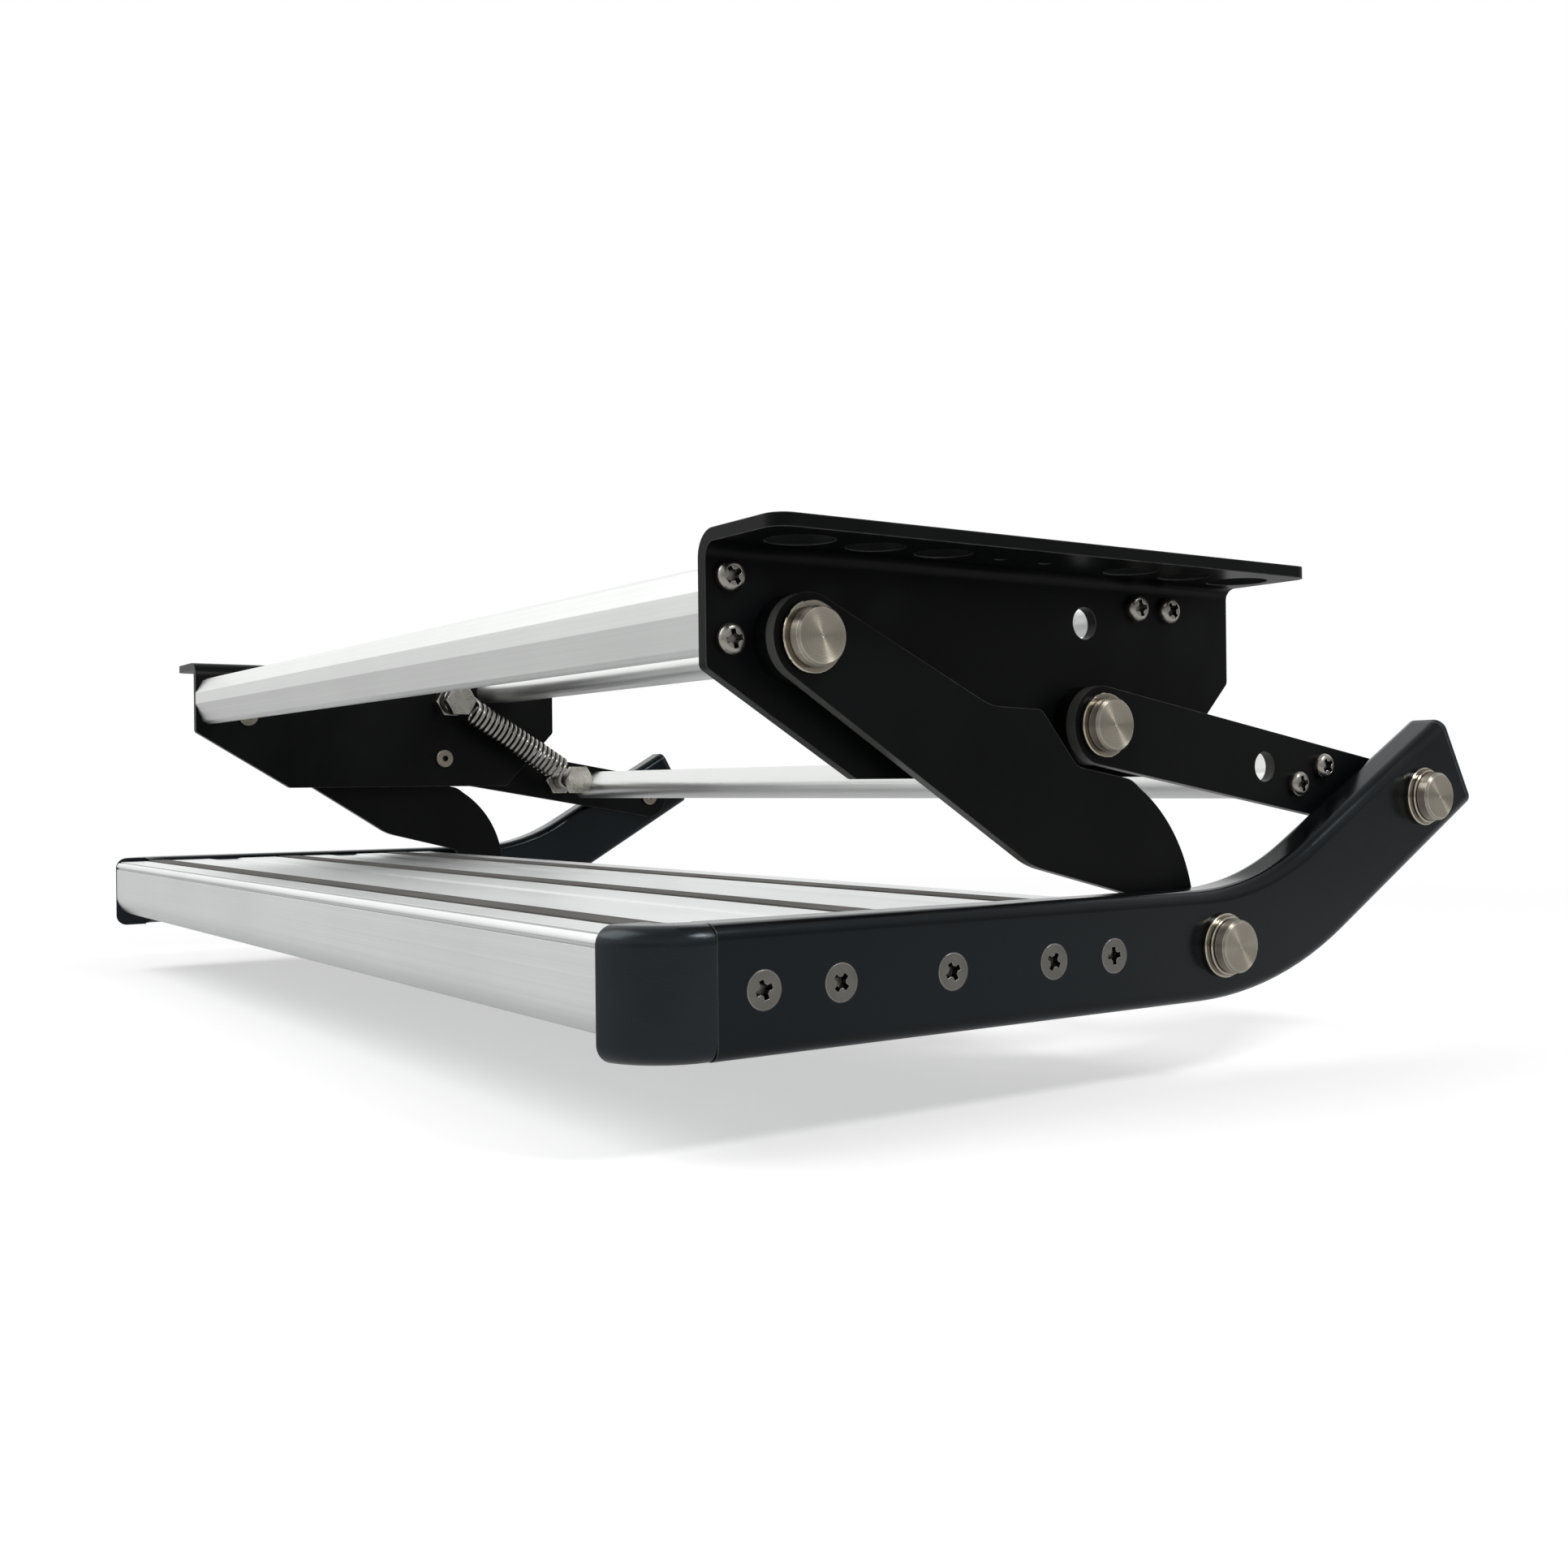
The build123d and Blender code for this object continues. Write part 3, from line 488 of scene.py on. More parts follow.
def add_group(tree, name, values=None):
    """Places a shared effect in a material, and makes it when it is first used."""
    shared = bpy.data.node_groups.get(name) or GROUP_MAKERS[name]()
    node = tree.nodes.new("ShaderNodeGroup")
    node.node_tree = shared
    for label, value in (values or {}).items():
        socket_value(tree, node.inputs[label], value)
    return node


def new_material(name, **fixed):
    """A material with a Principled shader whose plain numbers are set on its own sockets."""
    material = bpy.data.materials.new(name)
    material.use_nodes = True
    tree = material.node_tree
    shader = tree.nodes["Principled BSDF"]
    for label, value in fixed.items():
        shader.inputs[label.replace("_", " ")].default_value = value
    return material, tree, shader


def bump(tree, height, distance, strength, normal=None):
    """A normal bent by a height; distance is in metres."""
    values = {"Height": height, "Distance": distance, "Strength": strength}
    if normal is not None:
        values["Normal"] = normal
    return add_node(tree, "ShaderNodeBump", values).outputs[0]


# Edge tones, partly scuffs and partly a painted highlight
SCUFFED_AND_LIT_COAT_EDGE = (0.2, 0.2, 0.195, 1.0)
SCUFFED_AND_LIT_SPACER_EDGE = (0.08, 0.08, 0.08, 1.0)
SCUFFED_AND_LIT_ZINC_EDGE = (0.8, 0.79, 0.76, 1.0)
# A painted highlight on the rims of turned steel
PAINTED_RIM_HIGHLIGHT = (0.9, 0.89, 0.86, 1.0)
# Painted shade in grooves, in the crosses of screws and in sockets
PAINTED_GROOVE_SHADE = (0.12, 0.12, 0.12, 1.0)
PAINTED_CROSS_SHADE = (0.02, 0.02, 0.02, 1.0)
PAINTED_SOCKET_SHADE = (0.012, 0.012, 0.012, 1.0)

# Tints of the reflections in the black coats and mouldings
WARM = (1.0, 0.98, 0.95, 1.0)
COOL = (0.75, 0.9, 1.0, 1.0)
COOL_MOULDING = (0.8, 0.92, 1.0, 1.0)


def rgba(color):
    """A colour as a colour socket takes it."""
    return (*color, 1.0)


def scaled(color, share):
    """A colour made lighter or darker by a factor."""
    return [share * part for part in color]


def with_painted_recess_shade(tree, tone, reach, share, dark):
    """A tone with painted shade in grooves, crosses and sockets."""
    recesses = add_group(tree, "recesses", {"Reach": reach})
    shade = math(tree, "MULTIPLY", recesses.outputs["Depth"], share)
    return mixed_color(tree, shade, tone, dark)


def cut_faces(tree):
    """Finds the sawn and punched sides of a flat plate that stands across X."""
    normal = tree.nodes.new("ShaderNodeNewGeometry").outputs["True Normal"]
    across = add_node(tree, "ShaderNodeSeparateXYZ", {"Vector": normal}).outputs["X"]
    return spread(tree, math(tree, "ABSOLUTE", across), 0.2, 0.6, 1.0, 0.0)


def set_surface(tree, shader, tone, rough, normal):
    """Gives a shader the colour, roughness and normal that change over its surface."""
    socket_value(tree, shader.inputs["Base Color"], tone)
    socket_value(tree, shader.inputs["Roughness"], rough)
    socket_value(tree, shader.inputs["Normal"], normal)


def make_black_coat(name, scene, gloss, sheen, tint, cut_side_reflection_tone=0.0):
    """Powder coat; gloss is its least roughness.

    Its edges are painted lighter, partly scuffing and partly a painted highlight. With a cut tone,
    the cut sides of a plate are painted lighter as well, a painted reflection of the pale floor.
    """
    material, tree, shader = new_material(name, Specular_IOR_Level=sheen, Specular_Tint=tint)
    coats = scene.step_coats
    edges = add_group(tree, "soft_edges", {"Radius": coats.edge_radius, "Breakup": 0.55})
    grain = add_group(tree, "fine_grain", {"Grain size": 0.0009, "Patch size": 0.06})
    dark = rgba(coats.plate_color)
    faded = rgba([1.5 * part + 0.001 for part in coats.plate_color])
    patches = spread(tree, grain.outputs["Patch"], 0.35, 0.7, 0.0, 1.0)
    tone = mixed_color(tree, patches, dark, faded)
    # Edges painted lighter: partly scuffing, partly a painted highlight
    edge_share = 0.45 if cut_side_reflection_tone else 0.85
    scuffed_and_lit_edges = math(tree, "MULTIPLY", edges.outputs["Edge"], edge_share)
    tone = mixed_color(tree, scuffed_and_lit_edges, tone, SCUFFED_AND_LIT_COAT_EDGE)
    if cut_side_reflection_tone:
        # Cut sides painted lighter: a painted reflection of the pale floor
        cut_side_reflection = spread(tree, grain.outputs["Patch"], 0.3, 0.7, 0.75, 1.0)
        cut_side_reflection = math(tree, "MULTIPLY", cut_side_reflection, cut_faces(tree))
        tone = mixed_color(tree, cut_side_reflection, tone, (cut_side_reflection_tone, cut_side_reflection_tone, 0.97 * cut_side_reflection_tone, 1.0))
    rough = spread(tree, grain.outputs["Patch"], 0.3, 0.7, gloss, gloss + 0.12)
    normal = bump(tree, grain.outputs["Height"], 0.00005, 0.3, edges.outputs["Normal"])
    set_surface(tree, shader, tone, rough, normal)
    return material


def make_black_plastic(name, scene):
    """Moulded plastic with a fine spark-eroded grain."""
    material, tree, shader = new_material(
        name, Specular_IOR_Level=0.35, Specular_Tint=COOL_MOULDING
    )
    color = scene.step_coats.plastic_color
    edges = add_group(tree, "soft_edges", {"Radius": 0.0006, "Breakup": 0.4})
    grain = add_group(tree, "fine_grain", {"Grain size": 0.0006, "Patch size": 0.03})
    patches = spread(tree, grain.outputs["Patch"], 0.4, 0.7, 0.0, 1.0)
    tone = mixed_color(tree, patches, rgba(color), rgba(scaled(color, 2.2)))
    rough = spread(tree, grain.outputs["Patch"], 0.3, 0.7, 0.15, 0.27)
    normal = bump(tree, grain.outputs["Height"], 0.00007, 0.6, edges.outputs["Normal"])
    set_surface(tree, shader, tone, rough, normal)
    return material


def make_grip_rubber(name, scene):
    """Matt ribbed strip, dusty on top."""
    material, tree, shader = new_material(name, Specular_IOR_Level=0.25)
    color = scene.step_coats.rubber_color
    lines = add_group(tree, "drawn_lines", {"Line width": 0.0011, "Line length": 0.4})
    grain = add_group(tree, "fine_grain", {"Grain size": 0.0005, "Patch size": 0.04})
    patches = spread(tree, grain.outputs["Patch"], 0.35, 0.65, 0.0, 1.0)
    tone = mixed_color(tree, patches, rgba(color), rgba(scaled(color, 1.45)))
    rough = spread(tree, lines.outputs["Tone"], 0.3, 0.7, 0.6, 0.8)
    ribs = bump(tree, lines.outputs["Height"], 0.0003, 0.5)
    normal = bump(tree, grain.outputs["Height"], 0.0001, 0.4, ribs)
    set_surface(tree, shader, tone, rough, normal)
    return material


def make_anodised(name, color, roughness, line_height):
    """Satin anodised extrusion with fine die lines."""
    material, tree, shader = new_material(name, Metallic=1.0)
    edges = add_group(tree, "soft_edges", {"Radius": 0.0003, "Breakup": 0.2})
    lines = add_group(tree, "drawn_lines", {"Line width": 0.0007, "Line length": 0.5})
    streaks = spread(tree, lines.outputs["Tone"], 0.3, 0.7, 0.0, 1.0)
    tone = mixed_color(tree, streaks, rgba(scaled(color, 0.86)), rgba(color))
    # Painted shade in the grooves of the extrusion
    tone = with_painted_recess_shade(tree, tone, 0.0016, 0.75, PAINTED_GROOVE_SHADE)
    rough = spread(tree, lines.outputs["Tone"], 0.3, 0.7, roughness - 0.05, roughness + 0.05)
    normal = bump(tree, lines.outputs["Height"], line_height, 0.5, edges.outputs["Normal"])
    set_surface(tree, shader, tone, rough, normal)
    return material


def make_plain_steel(name, color, roughness):
    """Bright steel of the washers, stubs and retaining screws."""
    material, tree, shader = new_material(name, Metallic=1.0)
    edges = add_group(tree, "soft_edges", {"Radius": 0.0003, "Breakup": 0.2})
    grain = add_group(tree, "fine_grain", {"Grain size": 0.0007, "Patch size": 0.008})
    patches = spread(tree, grain.outputs["Patch"], 0.35, 0.65, 0.0, 1.0)
    tone = mixed_color(tree, patches, rgba(scaled(color, 0.8)), rgba(color))
    # Edges painted lighter: a painted highlight on the rims
    rim_highlight = rgba([min(1.0, part) for part in scaled(color, 1.6)])
    tone = mixed_color(tree, edges.outputs["Edge"], tone, rim_highlight)
    # Painted shade in the sockets of the retaining screws
    tone = with_painted_recess_shade(tree, tone, 0.005, 0.9, PAINTED_SOCKET_SHADE)
    rough = spread(tree, grain.outputs["Patch"], 0.3, 0.7, roughness, roughness + 0.1)
    normal = bump(tree, grain.outputs["Height"], 0.00002, 0.3, edges.outputs["Normal"])
    set_surface(tree, shader, tone, rough, normal)
    return material


def make_spun_steel(name, scene):
    """Steel faced on a lathe: fine rings, and a sheen that fans out from the axis."""
    material, tree, shader = new_material(
        name, Metallic=1.0, Anisotropic=0.9, Anisotropic_Rotation=0.25
    )
    color = scene.step_metals.turned_color
    edges = add_group(tree, "soft_edges", {"Radius": 0.0003, "Breakup": 0.2})
    marks = add_group(tree, "turning_marks", {"Ring width": 0.00035})
    rings = spread(tree, marks.outputs["Tone"], 0.3, 0.7, 0.0, 1.0)
    tone = mixed_color(tree, rings, rgba(scaled(color, 0.86)), rgba(scaled(color, 1.12)))
    # A painted highlight on the rim and edges of the head
    tone = mixed_color(tree, edges.outputs["Edge"], tone, PAINTED_RIM_HIGHLIGHT)
    rough = spread(tree, marks.outputs["Tone"], 0.3, 0.7, 0.36, 0.46)
    normal = bump(tree, marks.outputs["Height"], 0.00001, 1.0, edges.outputs["Normal"])
    set_surface(tree, shader, tone, rough, normal)
    around = add_node(tree, "ShaderNodeAttribute", attribute_name="around_axis").outputs["Vector"]
    socket_value(tree, shader.inputs["Tangent"], around)
    return material


def make_zinc(name, color, roughness):
    """Plated steel, mottled by handling."""
    material, tree, shader = new_material(name, Metallic=1.0)
    edges = add_group(tree, "soft_edges", {"Radius": 0.0003, "Breakup": 0.3})
    grain = add_group(tree, "fine_grain", {"Grain size": 0.0007, "Patch size": 0.006})
    patches = spread(tree, grain.outputs["Patch"], 0.35, 0.65, 0.0, 1.0)
    tone = mixed_color(tree, patches, rgba(scaled(color, 0.84)), rgba(color))
    # Edges painted lighter: partly scuffing, partly a painted highlight
    edge_patches = math(tree, "MULTIPLY", edges.outputs["Edge"], 0.5)
    tone = mixed_color(tree, edge_patches, tone, SCUFFED_AND_LIT_ZINC_EDGE)
    # Painted shade in the crosses of the screws
    tone = with_painted_recess_shade(tree, tone, 0.0025, 0.85, PAINTED_CROSS_SHADE)
    rough = spread(tree, grain.outputs["Patch"], 0.3, 0.7, roughness - 0.04, roughness + 0.04)
    normal = bump(tree, grain.outputs["Height"], 0.00004, 0.5, edges.outputs["Normal"])
    set_surface(tree, shader, tone, rough, normal)
    return material


def make_black_spacer(name, scene):
    """Coated spacer tube."""
    material, tree, shader = new_material(name, Specular_IOR_Level=0.2)
    color = scene.step_coats.plate_color
    edges = add_group(tree, "soft_edges", {"Radius": 0.0003, "Breakup": 0.5})
    grain = add_group(tree, "fine_grain", {"Grain size": 0.0006, "Patch size": 0.01})
    # Edges painted lighter: partly scuffing, partly a painted highlight
    scuffed_and_lit_edges = math(tree, "MULTIPLY", edges.outputs["Edge"], 0.6)
    tone = mixed_color(tree, scuffed_and_lit_edges, rgba(color), SCUFFED_AND_LIT_SPACER_EDGE)
    rough = spread(tree, grain.outputs["Patch"], 0.3, 0.7, 0.3, 0.45)
    normal = bump(tree, grain.outputs["Height"], 0.00005, 0.4, edges.outputs["Normal"])
    set_surface(tree, shader, tone, rough, normal)
    return material


def material_for(slot):
    """The finish of a kind of piece, made when it is first asked for."""
    name = slot + "_finish"
    if name in bpy.data.materials:
        return bpy.data.materials[name]
    scene = bpy.context.scene
    metals = scene.step_metals
    polished = scaled(metals.turned_color, 1.4)
    plain = scaled(polished, 0.5)
    dull_zinc = scaled(metals.zinc_color, 0.48)
    makers = {
        "black_plate": lambda: make_black_coat(name, scene, gloss=0.28, sheen=0.085, tint=WARM),
        "black_link": lambda: make_black_coat(
            name, scene, gloss=0.28, sheen=0.085, tint=WARM, cut_side_reflection_tone=0.09
        ),
        "black_rail": lambda: make_black_coat(name, scene, gloss=0.12, sheen=0.23, tint=COOL),
        "black_plastic": lambda: make_black_plastic(name, scene),
        "black_spacer": lambda: make_black_spacer(name, scene),
        "grip_rubber": lambda: make_grip_rubber(name, scene),
        "silver_extrusion": lambda: make_anodised(
            name, metals.tube_color, roughness=0.40, line_height=0.00002
        ),
        "tread_extrusion": lambda: make_anodised(
            name, metals.tread_color, roughness=0.38, line_height=0.00005
        ),
        "turned_steel": lambda: make_plain_steel(name, plain, roughness=0.3),
        "polished_steel": lambda: make_plain_steel(name, polished, roughness=0.1),
        "spun_steel": lambda: make_spun_steel(name, scene),
        "zinc_steel": lambda: make_zinc(name, metals.zinc_color, roughness=0.28),
        "dull_zinc": lambda: make_zinc(name, dull_zinc, roughness=0.34),
        "spring_steel": lambda: make_zinc(name, metals.spring_color, roughness=0.2),
    }
    return makers[slot]()


# Modelling


def deselect_all():
    """Leaves edit mode and selects nothing."""
    if bpy.context.object and bpy.context.object.mode != "OBJECT":
        bpy.ops.object.mode_set(mode="OBJECT")
    bpy.ops.object.select_all(action="DESELECT")


def select_only(piece):
    """Selects one piece and makes it the active one."""
    deselect_all()
    piece.select_set(True)
    bpy.context.view_layer.objects.active = piece


def paint(piece, slot):
    """Gives a piece the finish of a kind as its only material."""
    piece.data.materials.clear()
    piece.data.materials.append(material_for(slot))


def turned(name, profile, corners):
    """A piece turned about +Z from (height, radius) steps, drawn out ring by ring from its foot."""
    deselect_all()
    height, radius = profile[0]
    bpy.ops.mesh.primitive_circle_add(
        vertices=corners, radius=radius, fill_type="NGON", location=(0, 0, height)
    )
    piece = bpy.context.object
    piece.name = name
    bpy.ops.object.transform_apply(location=True, rotation=True, scale=True)
    bpy.ops.object.mode_set(mode="EDIT")
    bpy.ops.mesh.select_all(action="SELECT")
    for next_height, next_radius in profile[1:]:
        bpy.ops.mesh.extrude_region_move(
            TRANSFORM_OT_translate={"value": (0, 0, next_height - height)}
        )
        share = next_radius / radius
        bpy.ops.transform.resize(value=(share, share, 1), center_override=(0, 0, next_height))
        height, radius = next_height, next_radius
    bpy.ops.mesh.select_all(action="SELECT")
    bpy.ops.mesh.normals_make_consistent(inside=False)
    bpy.ops.object.mode_set(mode="OBJECT")
    return piece


def mark_lathe(piece):
    """Stores on each point its distance from the axis and the way that the lathe turned it."""
    mesh = piece.data
    distance = mesh.attributes.new("from_axis", "FLOAT", "POINT")
    around = mesh.attributes.new("around_axis", "FLOAT_VECTOR", "POINT")
    for point, far, way in zip(mesh.vertices, distance.data, around.data):
        far.value = hypot(point.co.x, point.co.y)
        way.vector = Vector((-point.co.y, point.co.x, 0)).normalized()


def copies_on_axes(piece, places):
    """Copies of a piece, each with its own mesh, turned to face out along X at their places."""
    copies = []
    for place in places:
        side = 1 if place[0] > 0 else -1
        copy = piece.copy()
        copy.data = piece.data.copy()
        bpy.context.scene.collection.objects.link(copy)
        turn = Matrix.Rotation(side * pi / 2, 4, "Y")
        copy.data.transform(Matrix.Translation(place) @ turn)
        around = copy.data.attributes.get("around_axis")
        for way in around.data:
            way.vector = turn.to_3x3() @ way.vector
        copies.append(copy)
    bpy.data.objects.remove(piece)
    return copies


def joined(name, pieces):
    """One object out of several."""
    deselect_all()
    for piece in pieces:
        piece.select_set(True)
    bpy.context.view_layer.objects.active = pieces[0]
    bpy.ops.object.join()
    whole = bpy.context.object
    whole.name = name
    return whole


def smooth_by_angle(piece, degrees):
    """Shades a piece smooth but for edges sharper than an angle."""
    select_only(piece)
    bpy.ops.object.shade_smooth_by_angle(angle=radians(degrees))


def both_sides(node):
    """The outer X, the centre in the side view and the radius of a node's two like pieces."""
    low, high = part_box(node)
    return high.x, (low.y + high.y) / 2, (low.z + high.z) / 2, (high.y - low.y) / 2


# Lengths of the barrels behind the heads of the pins
PIN_BARRELS = {
    "front_pivot_pins": 0.0131,
    "rear_pivot_pins": 0.0124,
    "tread_front_pivot_pins": 0.0206,
    "tread_rear_pivot_pins": 0.0250,
}
PIN_BARREL_RADIUS = 0.005
PIN_HEAD_HEIGHT = 0.0043
HEAD_BACK_CHAMFER = 0.0003

# Depths of the face below its rim: beside the rim, over its middle and at the lathe's centre
FACE_LIP = 0.00008
FACE_DISH = 0.00012
FACE_CENTRE = 0.0005

# Edges of a pin that turn by more degrees than this stay sharp
PIN_SMOOTH_ANGLE = 30


class STEP_OT_finish_coats(Operator):
    """Gives the black plates, rails, spacers, mouldings and grip strips their finish"""

    bl_idname = "entry_step.finish_coats"
    bl_label = "Finish coats and mouldings"

    def execute(self, context):
        slots = ("black_plate", "black_spacer", "black_plastic", "grip_rubber")
        for part in frame["record"]["subparts"]:
            if part["material_slot"] in slots:
                coat = part["material_slot"]
                if "side_rail" in part["node"]:
                    coat = "black_rail"
                if part["node"].endswith("link"):
                    coat = "black_link"
                paint(frame["nodes"][part["node"]], coat)
        return {"FINISHED"}


class STEP_OT_finish_metals(Operator):
    """Gives the extrusions, screws, washers and bolts their finish"""

    bl_idname = "entry_step.finish_metals"
    bl_label = "Finish metals"

    def execute(self, context):
        slots = (
            "silver_extrusion",
            "tread_extrusion",
            "turned_steel",
            "zinc_steel",
            "spring_steel",
        )
        for part in frame["record"]["subparts"]:
            if part["material_slot"] in slots:
                finish = part["material_slot"]
                if part["node"].endswith("washers"):
                    finish = "polished_steel"
                if part["node"] == "plank_screws":
                    finish = "dull_zinc"
                paint(frame["nodes"][part["node"]], finish)
        return {"FINISHED"}


class STEP_OT_turn_pins(Operator):
    """Models the four pairs of turned pivot pins"""

    bl_idname = "entry_step.turn_pins"
    bl_label = "Turn pivot pins"

    def execute(self, context):
        settings = context.scene.step_pins
        chamfer = settings.face_chamfer
        for node, barrel in PIN_BARRELS.items():
            face, middle, level, radius = both_sides(node)
            profile = [
                (-PIN_HEAD_HEIGHT - barrel, PIN_BARREL_RADIUS),
                (-PIN_HEAD_HEIGHT, PIN_BARREL_RADIUS),
                (-PIN_HEAD_HEIGHT, radius - HEAD_BACK_CHAMFER),
                (-PIN_HEAD_HEIGHT + HEAD_BACK_CHAMFER, radius),
                (-chamfer, radius),
                (0.0, radius - chamfer),
                (-FACE_LIP, radius - 1.4 * chamfer),
                (-FACE_DISH, radius * 0.66),
                (-FACE_DISH, radius * 0.33),
                (-FACE_DISH, radius * 0.06),
                (-FACE_CENTRE, radius * 0.01),
            ]
            pin = turned(node, profile, settings.corners)
            mark_lathe(pin)
            places = [(face, middle, level), (-face, middle, level)]
            pins = joined("turned_" + node, copies_on_axes(pin, places))
            smooth_by_angle(pins, PIN_SMOOTH_ANGLE)
            paint(pins, "spun_steel")
            body = frame["nodes"][node]["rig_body"]
            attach(pins, body)
            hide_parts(node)
        return {"FINISHED"}


# Places of the spring's bolts as (Y, Z), the X of its hooks and the bolt heads' width across flats
UPPER_SPRING_POINT = (0.0373, -0.0200)
LOWER_SPRING_POINT = (0.11851, -0.069645)
HOOK_PLANE = -0.2605
BOLT_HEAD_FLATS = 0.017

# Each hook runs from its tip round the bolt, in degrees, and straight on to the coil
HOOK_TIP = -50
HOOK_END = -270
HOOK_STEP = -20
STRAIGHT_SHARES = (0.35, 0.7)
COIL_POINTS_PER_TURN = 14


def spring_route(settings):
    """Points along the wire, and the two ends of the stretch that gives when it moves."""
    radius = (settings.outside - settings.wire) / 2
    run = (
        LOWER_SPRING_POINT[0] - UPPER_SPRING_POINT[0],
        LOWER_SPRING_POINT[1] - UPPER_SPRING_POINT[1],
    )
    length = hypot(*run)
    slope = atan2(run[1], run[0])
    bolt_head_radius = BOLT_HEAD_FLATS / sqrt(3)
    gap = 1.3 * settings.wire
    coil_start = bolt_head_radius + gap
    pitch = (length - 2 * coil_start) / settings.turns
    first_angle = pi / 4

    def place(distance, offset, across):
        """A point at a distance along the spring, above it and out of its plane."""
        return Vector(
            (
                HOOK_PLANE + across,
                UPPER_SPRING_POINT[0] + distance * cos(slope) - offset * sin(slope),
                UPPER_SPRING_POINT[1] + distance * sin(slope) + offset * cos(slope),
            )
        )

    def hook(centre, side):
        """Points of the hook round a bolt; side is 1 where the coil lies further along."""
        points = []
        for angle in range(HOOK_TIP, HOOK_END - 1, HOOK_STEP):
            turn = radians(angle)
            points.append(
                place(centre + side * radius * cos(turn), side * radius * sin(turn), 0)
            )
        for share in STRAIGHT_SHARES:
            points.append(place(centre + side * share * coil_start, side * radius, 0))
        return points

    coil = []
    for step in range(int(settings.turns * COIL_POINTS_PER_TURN) + 1):
        turns = step / COIL_POINTS_PER_TURN
        angle = 2 * pi * turns + first_angle
        coil.append(
            place(coil_start + pitch * turns, radius * cos(angle), radius * sin(angle))
        )
    points = hook(0, 1) + coil + list(reversed(hook(length, -1)))
    stiff = 0.4 * coil_start
    return points, place(stiff, 0, 0), place(length - stiff, 0, 0)


class STEP_OT_wind_spring(Operator):
    """Winds the tension spring from one wire, with a hook at each end"""

    bl_idname = "entry_step.wind_spring"
    bl_label = "Wind spring"

    def execute(self, context):
        settings = context.scene.step_spring
        points, start, end = spring_route(settings)
        deselect_all()
        bpy.ops.curve.primitive_nurbs_path_add(location=(0, 0, 0))
        wire = bpy.context.object
        wire.name = "wound_spring"
        wire.data.splines.clear()
        spline = wire.data.splines.new("NURBS")
        spline.points.add(len(points) - 1)
        for point, place in zip(spline.points, points):
            point.co = (*place, 1.0)
        spline.order_u = 4
        spline.use_endpoint_u = True
        spline.resolution_u = 3
        wire.data.bevel_depth = settings.wire / 2
        wire.data.bevel_resolution = 5
        wire.data.use_fill_caps = True
        bpy.ops.object.convert(target="MESH")
        spring = bpy.context.object
        bpy.ops.object.shade_smooth()
        paint(spring, "spring_steel")
        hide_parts("tension_spring", "spring_lower_hook")
        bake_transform(spring)
        return {"FINISHED"}


# Camera of the photograph: its place in metres, its angles in degrees and its lens in millimetres
CAMERA_PLACE = (0.67483, -0.36175, -0.07467)
CAMERA_HEADING = 55.38
CAMERA_TILT = -0.05
CAMERA_ROLL = -0.6165
CAMERA_LENS = 36.777
CAMERA_SENSOR = 36.0

# Places of the two square lamps and the lengths of their sides
FRONT_LAMP_PLACE = (-0.4, -1.2, 1.4)
FRONT_LAMP_SIZE = 1.3
SIDE_LAMP_PLACE = (1.1, 0.35, 0.9)
SIDE_LAMP_SIZE = 0.3

# The floor turns into plain white between these distances from its middle
FADE_START = 0.45
FADE_END = 1.1

# Strength of the floor's own glow to the camera and in the metals
FLOOR_LIFT = 0.42
MIRRORED_FLOOR_LIFT = 0.22

WHITE = (1, 1, 1, 1)
PAPER = (0.8, 0.8, 0.8, 1)
MIRRORED_PAPER = (0.6, 0.6, 0.6, 1)


def camera_matrix():
    """The camera's place and turn as one matrix."""
    heading = radians(CAMERA_HEADING)
    tilt = radians(CAMERA_TILT)
    roll = radians(CAMERA_ROLL)
    ahead = Vector((-sin(heading) * cos(tilt), cos(heading) * cos(tilt), -sin(tilt)))
    right = Vector((cos(heading), sin(heading), 0))
    up = right.cross(ahead)
    tilted_right = right * cos(roll) + up * sin(roll)
    tilted_up = up * cos(roll) - right * sin(roll)
    turn = Matrix((tilted_right, tilted_up, -ahead)).transposed()
    return Matrix.Translation(CAMERA_PLACE) @ turn.to_4x4()


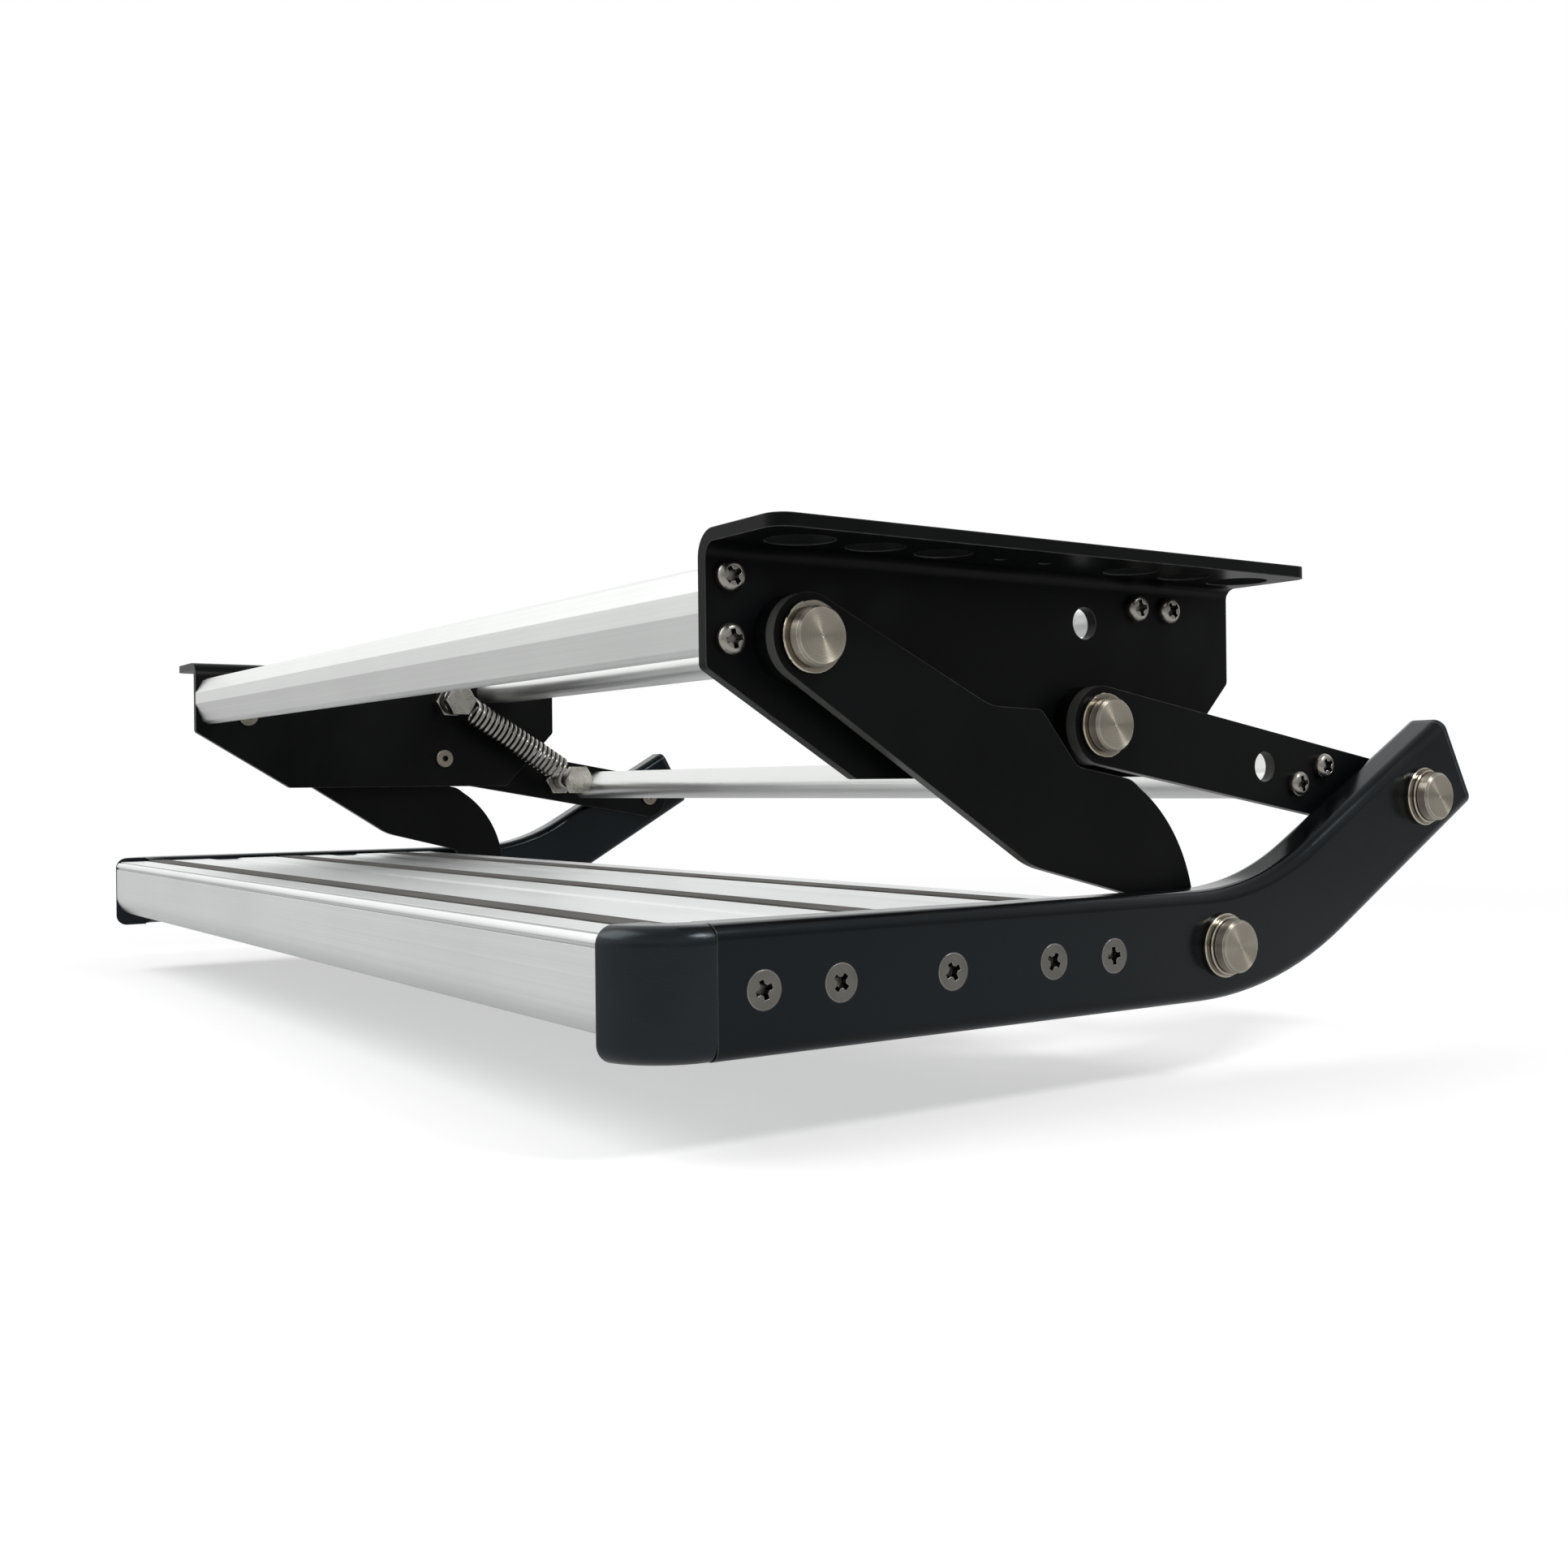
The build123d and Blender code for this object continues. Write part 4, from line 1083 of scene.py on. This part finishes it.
class STEP_OT_build_stage(Operator):
    """Sets up the camera, the soft lamps, the pale room and the floor"""

    bl_idname = "entry_step.build_stage"
    bl_label = "Build stage"

    def execute(self, context):
        settings = context.scene.step_stage
        deselect_all()
        bpy.ops.object.camera_add()
        camera = bpy.context.object
        camera.name = "photo_camera"
        camera.matrix_world = camera_matrix()
        camera.data.lens = CAMERA_LENS
        camera.data.sensor_width = CAMERA_SENSOR
        camera.data.sensor_height = CAMERA_SENSOR
        camera.data.clip_start = 0.01
        context.scene.camera = camera

        self.soft_lamp("soft_lamp", FRONT_LAMP_PLACE, FRONT_LAMP_SIZE, settings.lamp_power)
        self.soft_lamp("side_lamp", SIDE_LAMP_PLACE, SIDE_LAMP_SIZE, settings.side_power)

        bpy.ops.mesh.primitive_plane_add(
            size=settings.floor_size, location=(0, 0, cad_box[0][2] - settings.floor_drop)
        )
        floor = bpy.context.object
        floor.name = "floor"
        floor.data.materials.append(self.floor_material())
        self.light_room(context.scene, settings.ambient)
        context.scene.view_settings.view_transform = "Standard"
        return {"FINISHED"}

    def soft_lamp(self, name, place, size, power):
        """A square lamp that points at the middle of the step."""
        bpy.ops.object.light_add(type="AREA", location=place)
        lamp = bpy.context.object
        lamp.name = name
        lamp.data.shape = "SQUARE"
        lamp.data.size = size
        lamp.data.energy = power
        lamp.rotation_euler = (-Vector(place)).to_track_quat("-Z", "Y").to_euler()

    def floor_material(self):
        """White paper that keeps the shadow under the step and fades into the room further out."""
        material = bpy.data.materials.new("floor_white")
        material.use_nodes = True
        tree = material.node_tree
        tree.nodes.clear()
        rays = tree.nodes.new("ShaderNodeLightPath").outputs
        place = tree.nodes.new("ShaderNodeTexCoord").outputs["Object"]
        distance = add_node(
            tree, "ShaderNodeVectorMath", {0: place}, operation="LENGTH"
        ).outputs["Value"]
        far = spread(tree, distance, FADE_START, FADE_END, 0.0, 1.0)
        tone = mixed_color(tree, rays["Is Glossy Ray"], PAPER, MIRRORED_PAPER)
        paper = add_node(tree, "ShaderNodeBsdfDiffuse", {"Color": tone})
        seen = math(tree, "MULTIPLY", rays["Is Camera Ray"], FLOOR_LIFT)
        mirrored = math(tree, "MULTIPLY", rays["Is Glossy Ray"], MIRRORED_FLOOR_LIFT)
        glow = math(tree, "ADD", seen, mirrored)
        lift = add_node(tree, "ShaderNodeEmission", {"Color": WHITE, "Strength": glow})
        near = add_node(tree, "ShaderNodeAddShader", {0: paper.outputs[0], 1: lift.outputs[0]})
        white = add_node(tree, "ShaderNodeEmission", {"Color": WHITE, "Strength": 1.0})
        faded = math(tree, "MULTIPLY", far, rays["Is Camera Ray"])
        both = add_node(
            tree, "ShaderNodeMixShader", {0: faded, 1: near.outputs[0], 2: white.outputs[0]}
        )
        add_node(tree, "ShaderNodeOutputMaterial", {"Surface": both.outputs[0]})
        return material

    def light_room(self, scene, ambient):
        """A pale room: white to the camera, even on matt coats and shaded in the metals.

        The metals see it darker towards the floor, towards the right side and right overhead.
        """
        world = scene.world or bpy.data.worlds.new("room")
        scene.world = world
        world.use_nodes = True
        tree = world.node_tree
        tree.nodes.clear()
        rays = tree.nodes.new("ShaderNodeLightPath").outputs
        direction = tree.nodes.new("ShaderNodeTexCoord").outputs["Generated"]
        compass = add_node(tree, "ShaderNodeSeparateXYZ", {"Vector": direction})
        rise = compass.outputs["Z"]
        low_room = spread(tree, rise, -0.25, 0.05, 0.4, 1.0)
        aside = spread(tree, compass.outputs["X"], -0.5, 0.4, 1.0, 0.36)
        room = math(tree, "MULTIPLY", low_room, aside)
        raised = spread(tree, rise, 0.05, 0.5, 0.0, 0.4)
        overhead = spread(tree, rise, 0.5, 0.9, 1.0, 0.5)
        room = math(tree, "MULTIPLY", math(tree, "ADD", room, raised), overhead)
        mirrored = math(tree, "MULTIPLY", rays["Is Glossy Ray"], room)
        spread_light = math(
            tree, "MULTIPLY", math(tree, "SUBTRACT", 1.0, rays["Is Glossy Ray"]), ambient
        )
        strength = math(tree, "ADD", mirrored, spread_light)
        strength = math(tree, "MAXIMUM", strength, rays["Is Camera Ray"])
        light = add_node(tree, "ShaderNodeBackground", {"Color": WHITE, "Strength": strength})
        add_node(tree, "ShaderNodeOutputWorld", {"Surface": light.outputs[0]})


OPERATORS = (
    STEP_OT_build_stage,
    STEP_OT_finish_coats,
    STEP_OT_finish_metals,
    STEP_OT_turn_pins,
    STEP_OT_wind_spring,
)


class STEP_PT_sidebar(Panel):
    """Lists the sizes and the colours, and the buttons that build and finish the pieces"""

    bl_idname = "STEP_PT_sidebar"
    bl_label = "Entry step"
    bl_space_type = "VIEW_3D"
    bl_region_type = "UI"
    bl_category = "Entry step"

    def draw(self, context):
        layout = self.layout
        for name, group in SETTINGS.items():
            box = layout.box()
            box.label(text=group.__doc__)
            for value in group.__annotations__:
                box.prop(getattr(context.scene, name), value)
        for operator in OPERATORS:
            layout.operator(operator.bl_idname)


def register():
    """Makes the settings, the operators and the panel known."""
    for group in SETTINGS.values():
        bpy.utils.register_class(group)
    for name, group in SETTINGS.items():
        setattr(bpy.types.Scene, name, PointerProperty(type=group))
    for operator in OPERATORS:
        bpy.utils.register_class(operator)
    bpy.utils.register_class(STEP_PT_sidebar)


def unregister():
    """Takes the panel, the operators and the settings out again."""
    bpy.utils.unregister_class(STEP_PT_sidebar)
    for operator in reversed(OPERATORS):
        bpy.utils.unregister_class(operator)
    for name, group in SETTINGS.items():
        delattr(bpy.types.Scene, name)
        bpy.utils.unregister_class(group)


def main():
    """Builds the stage, finishes and models the pieces."""
    register()
    bpy.ops.entry_step.build_stage()
    bpy.ops.entry_step.finish_coats()
    bpy.ops.entry_step.finish_metals()
    bpy.ops.entry_step.turn_pins()
    bpy.ops.entry_step.wind_spring()


if __name__ == "__main__":
    main()
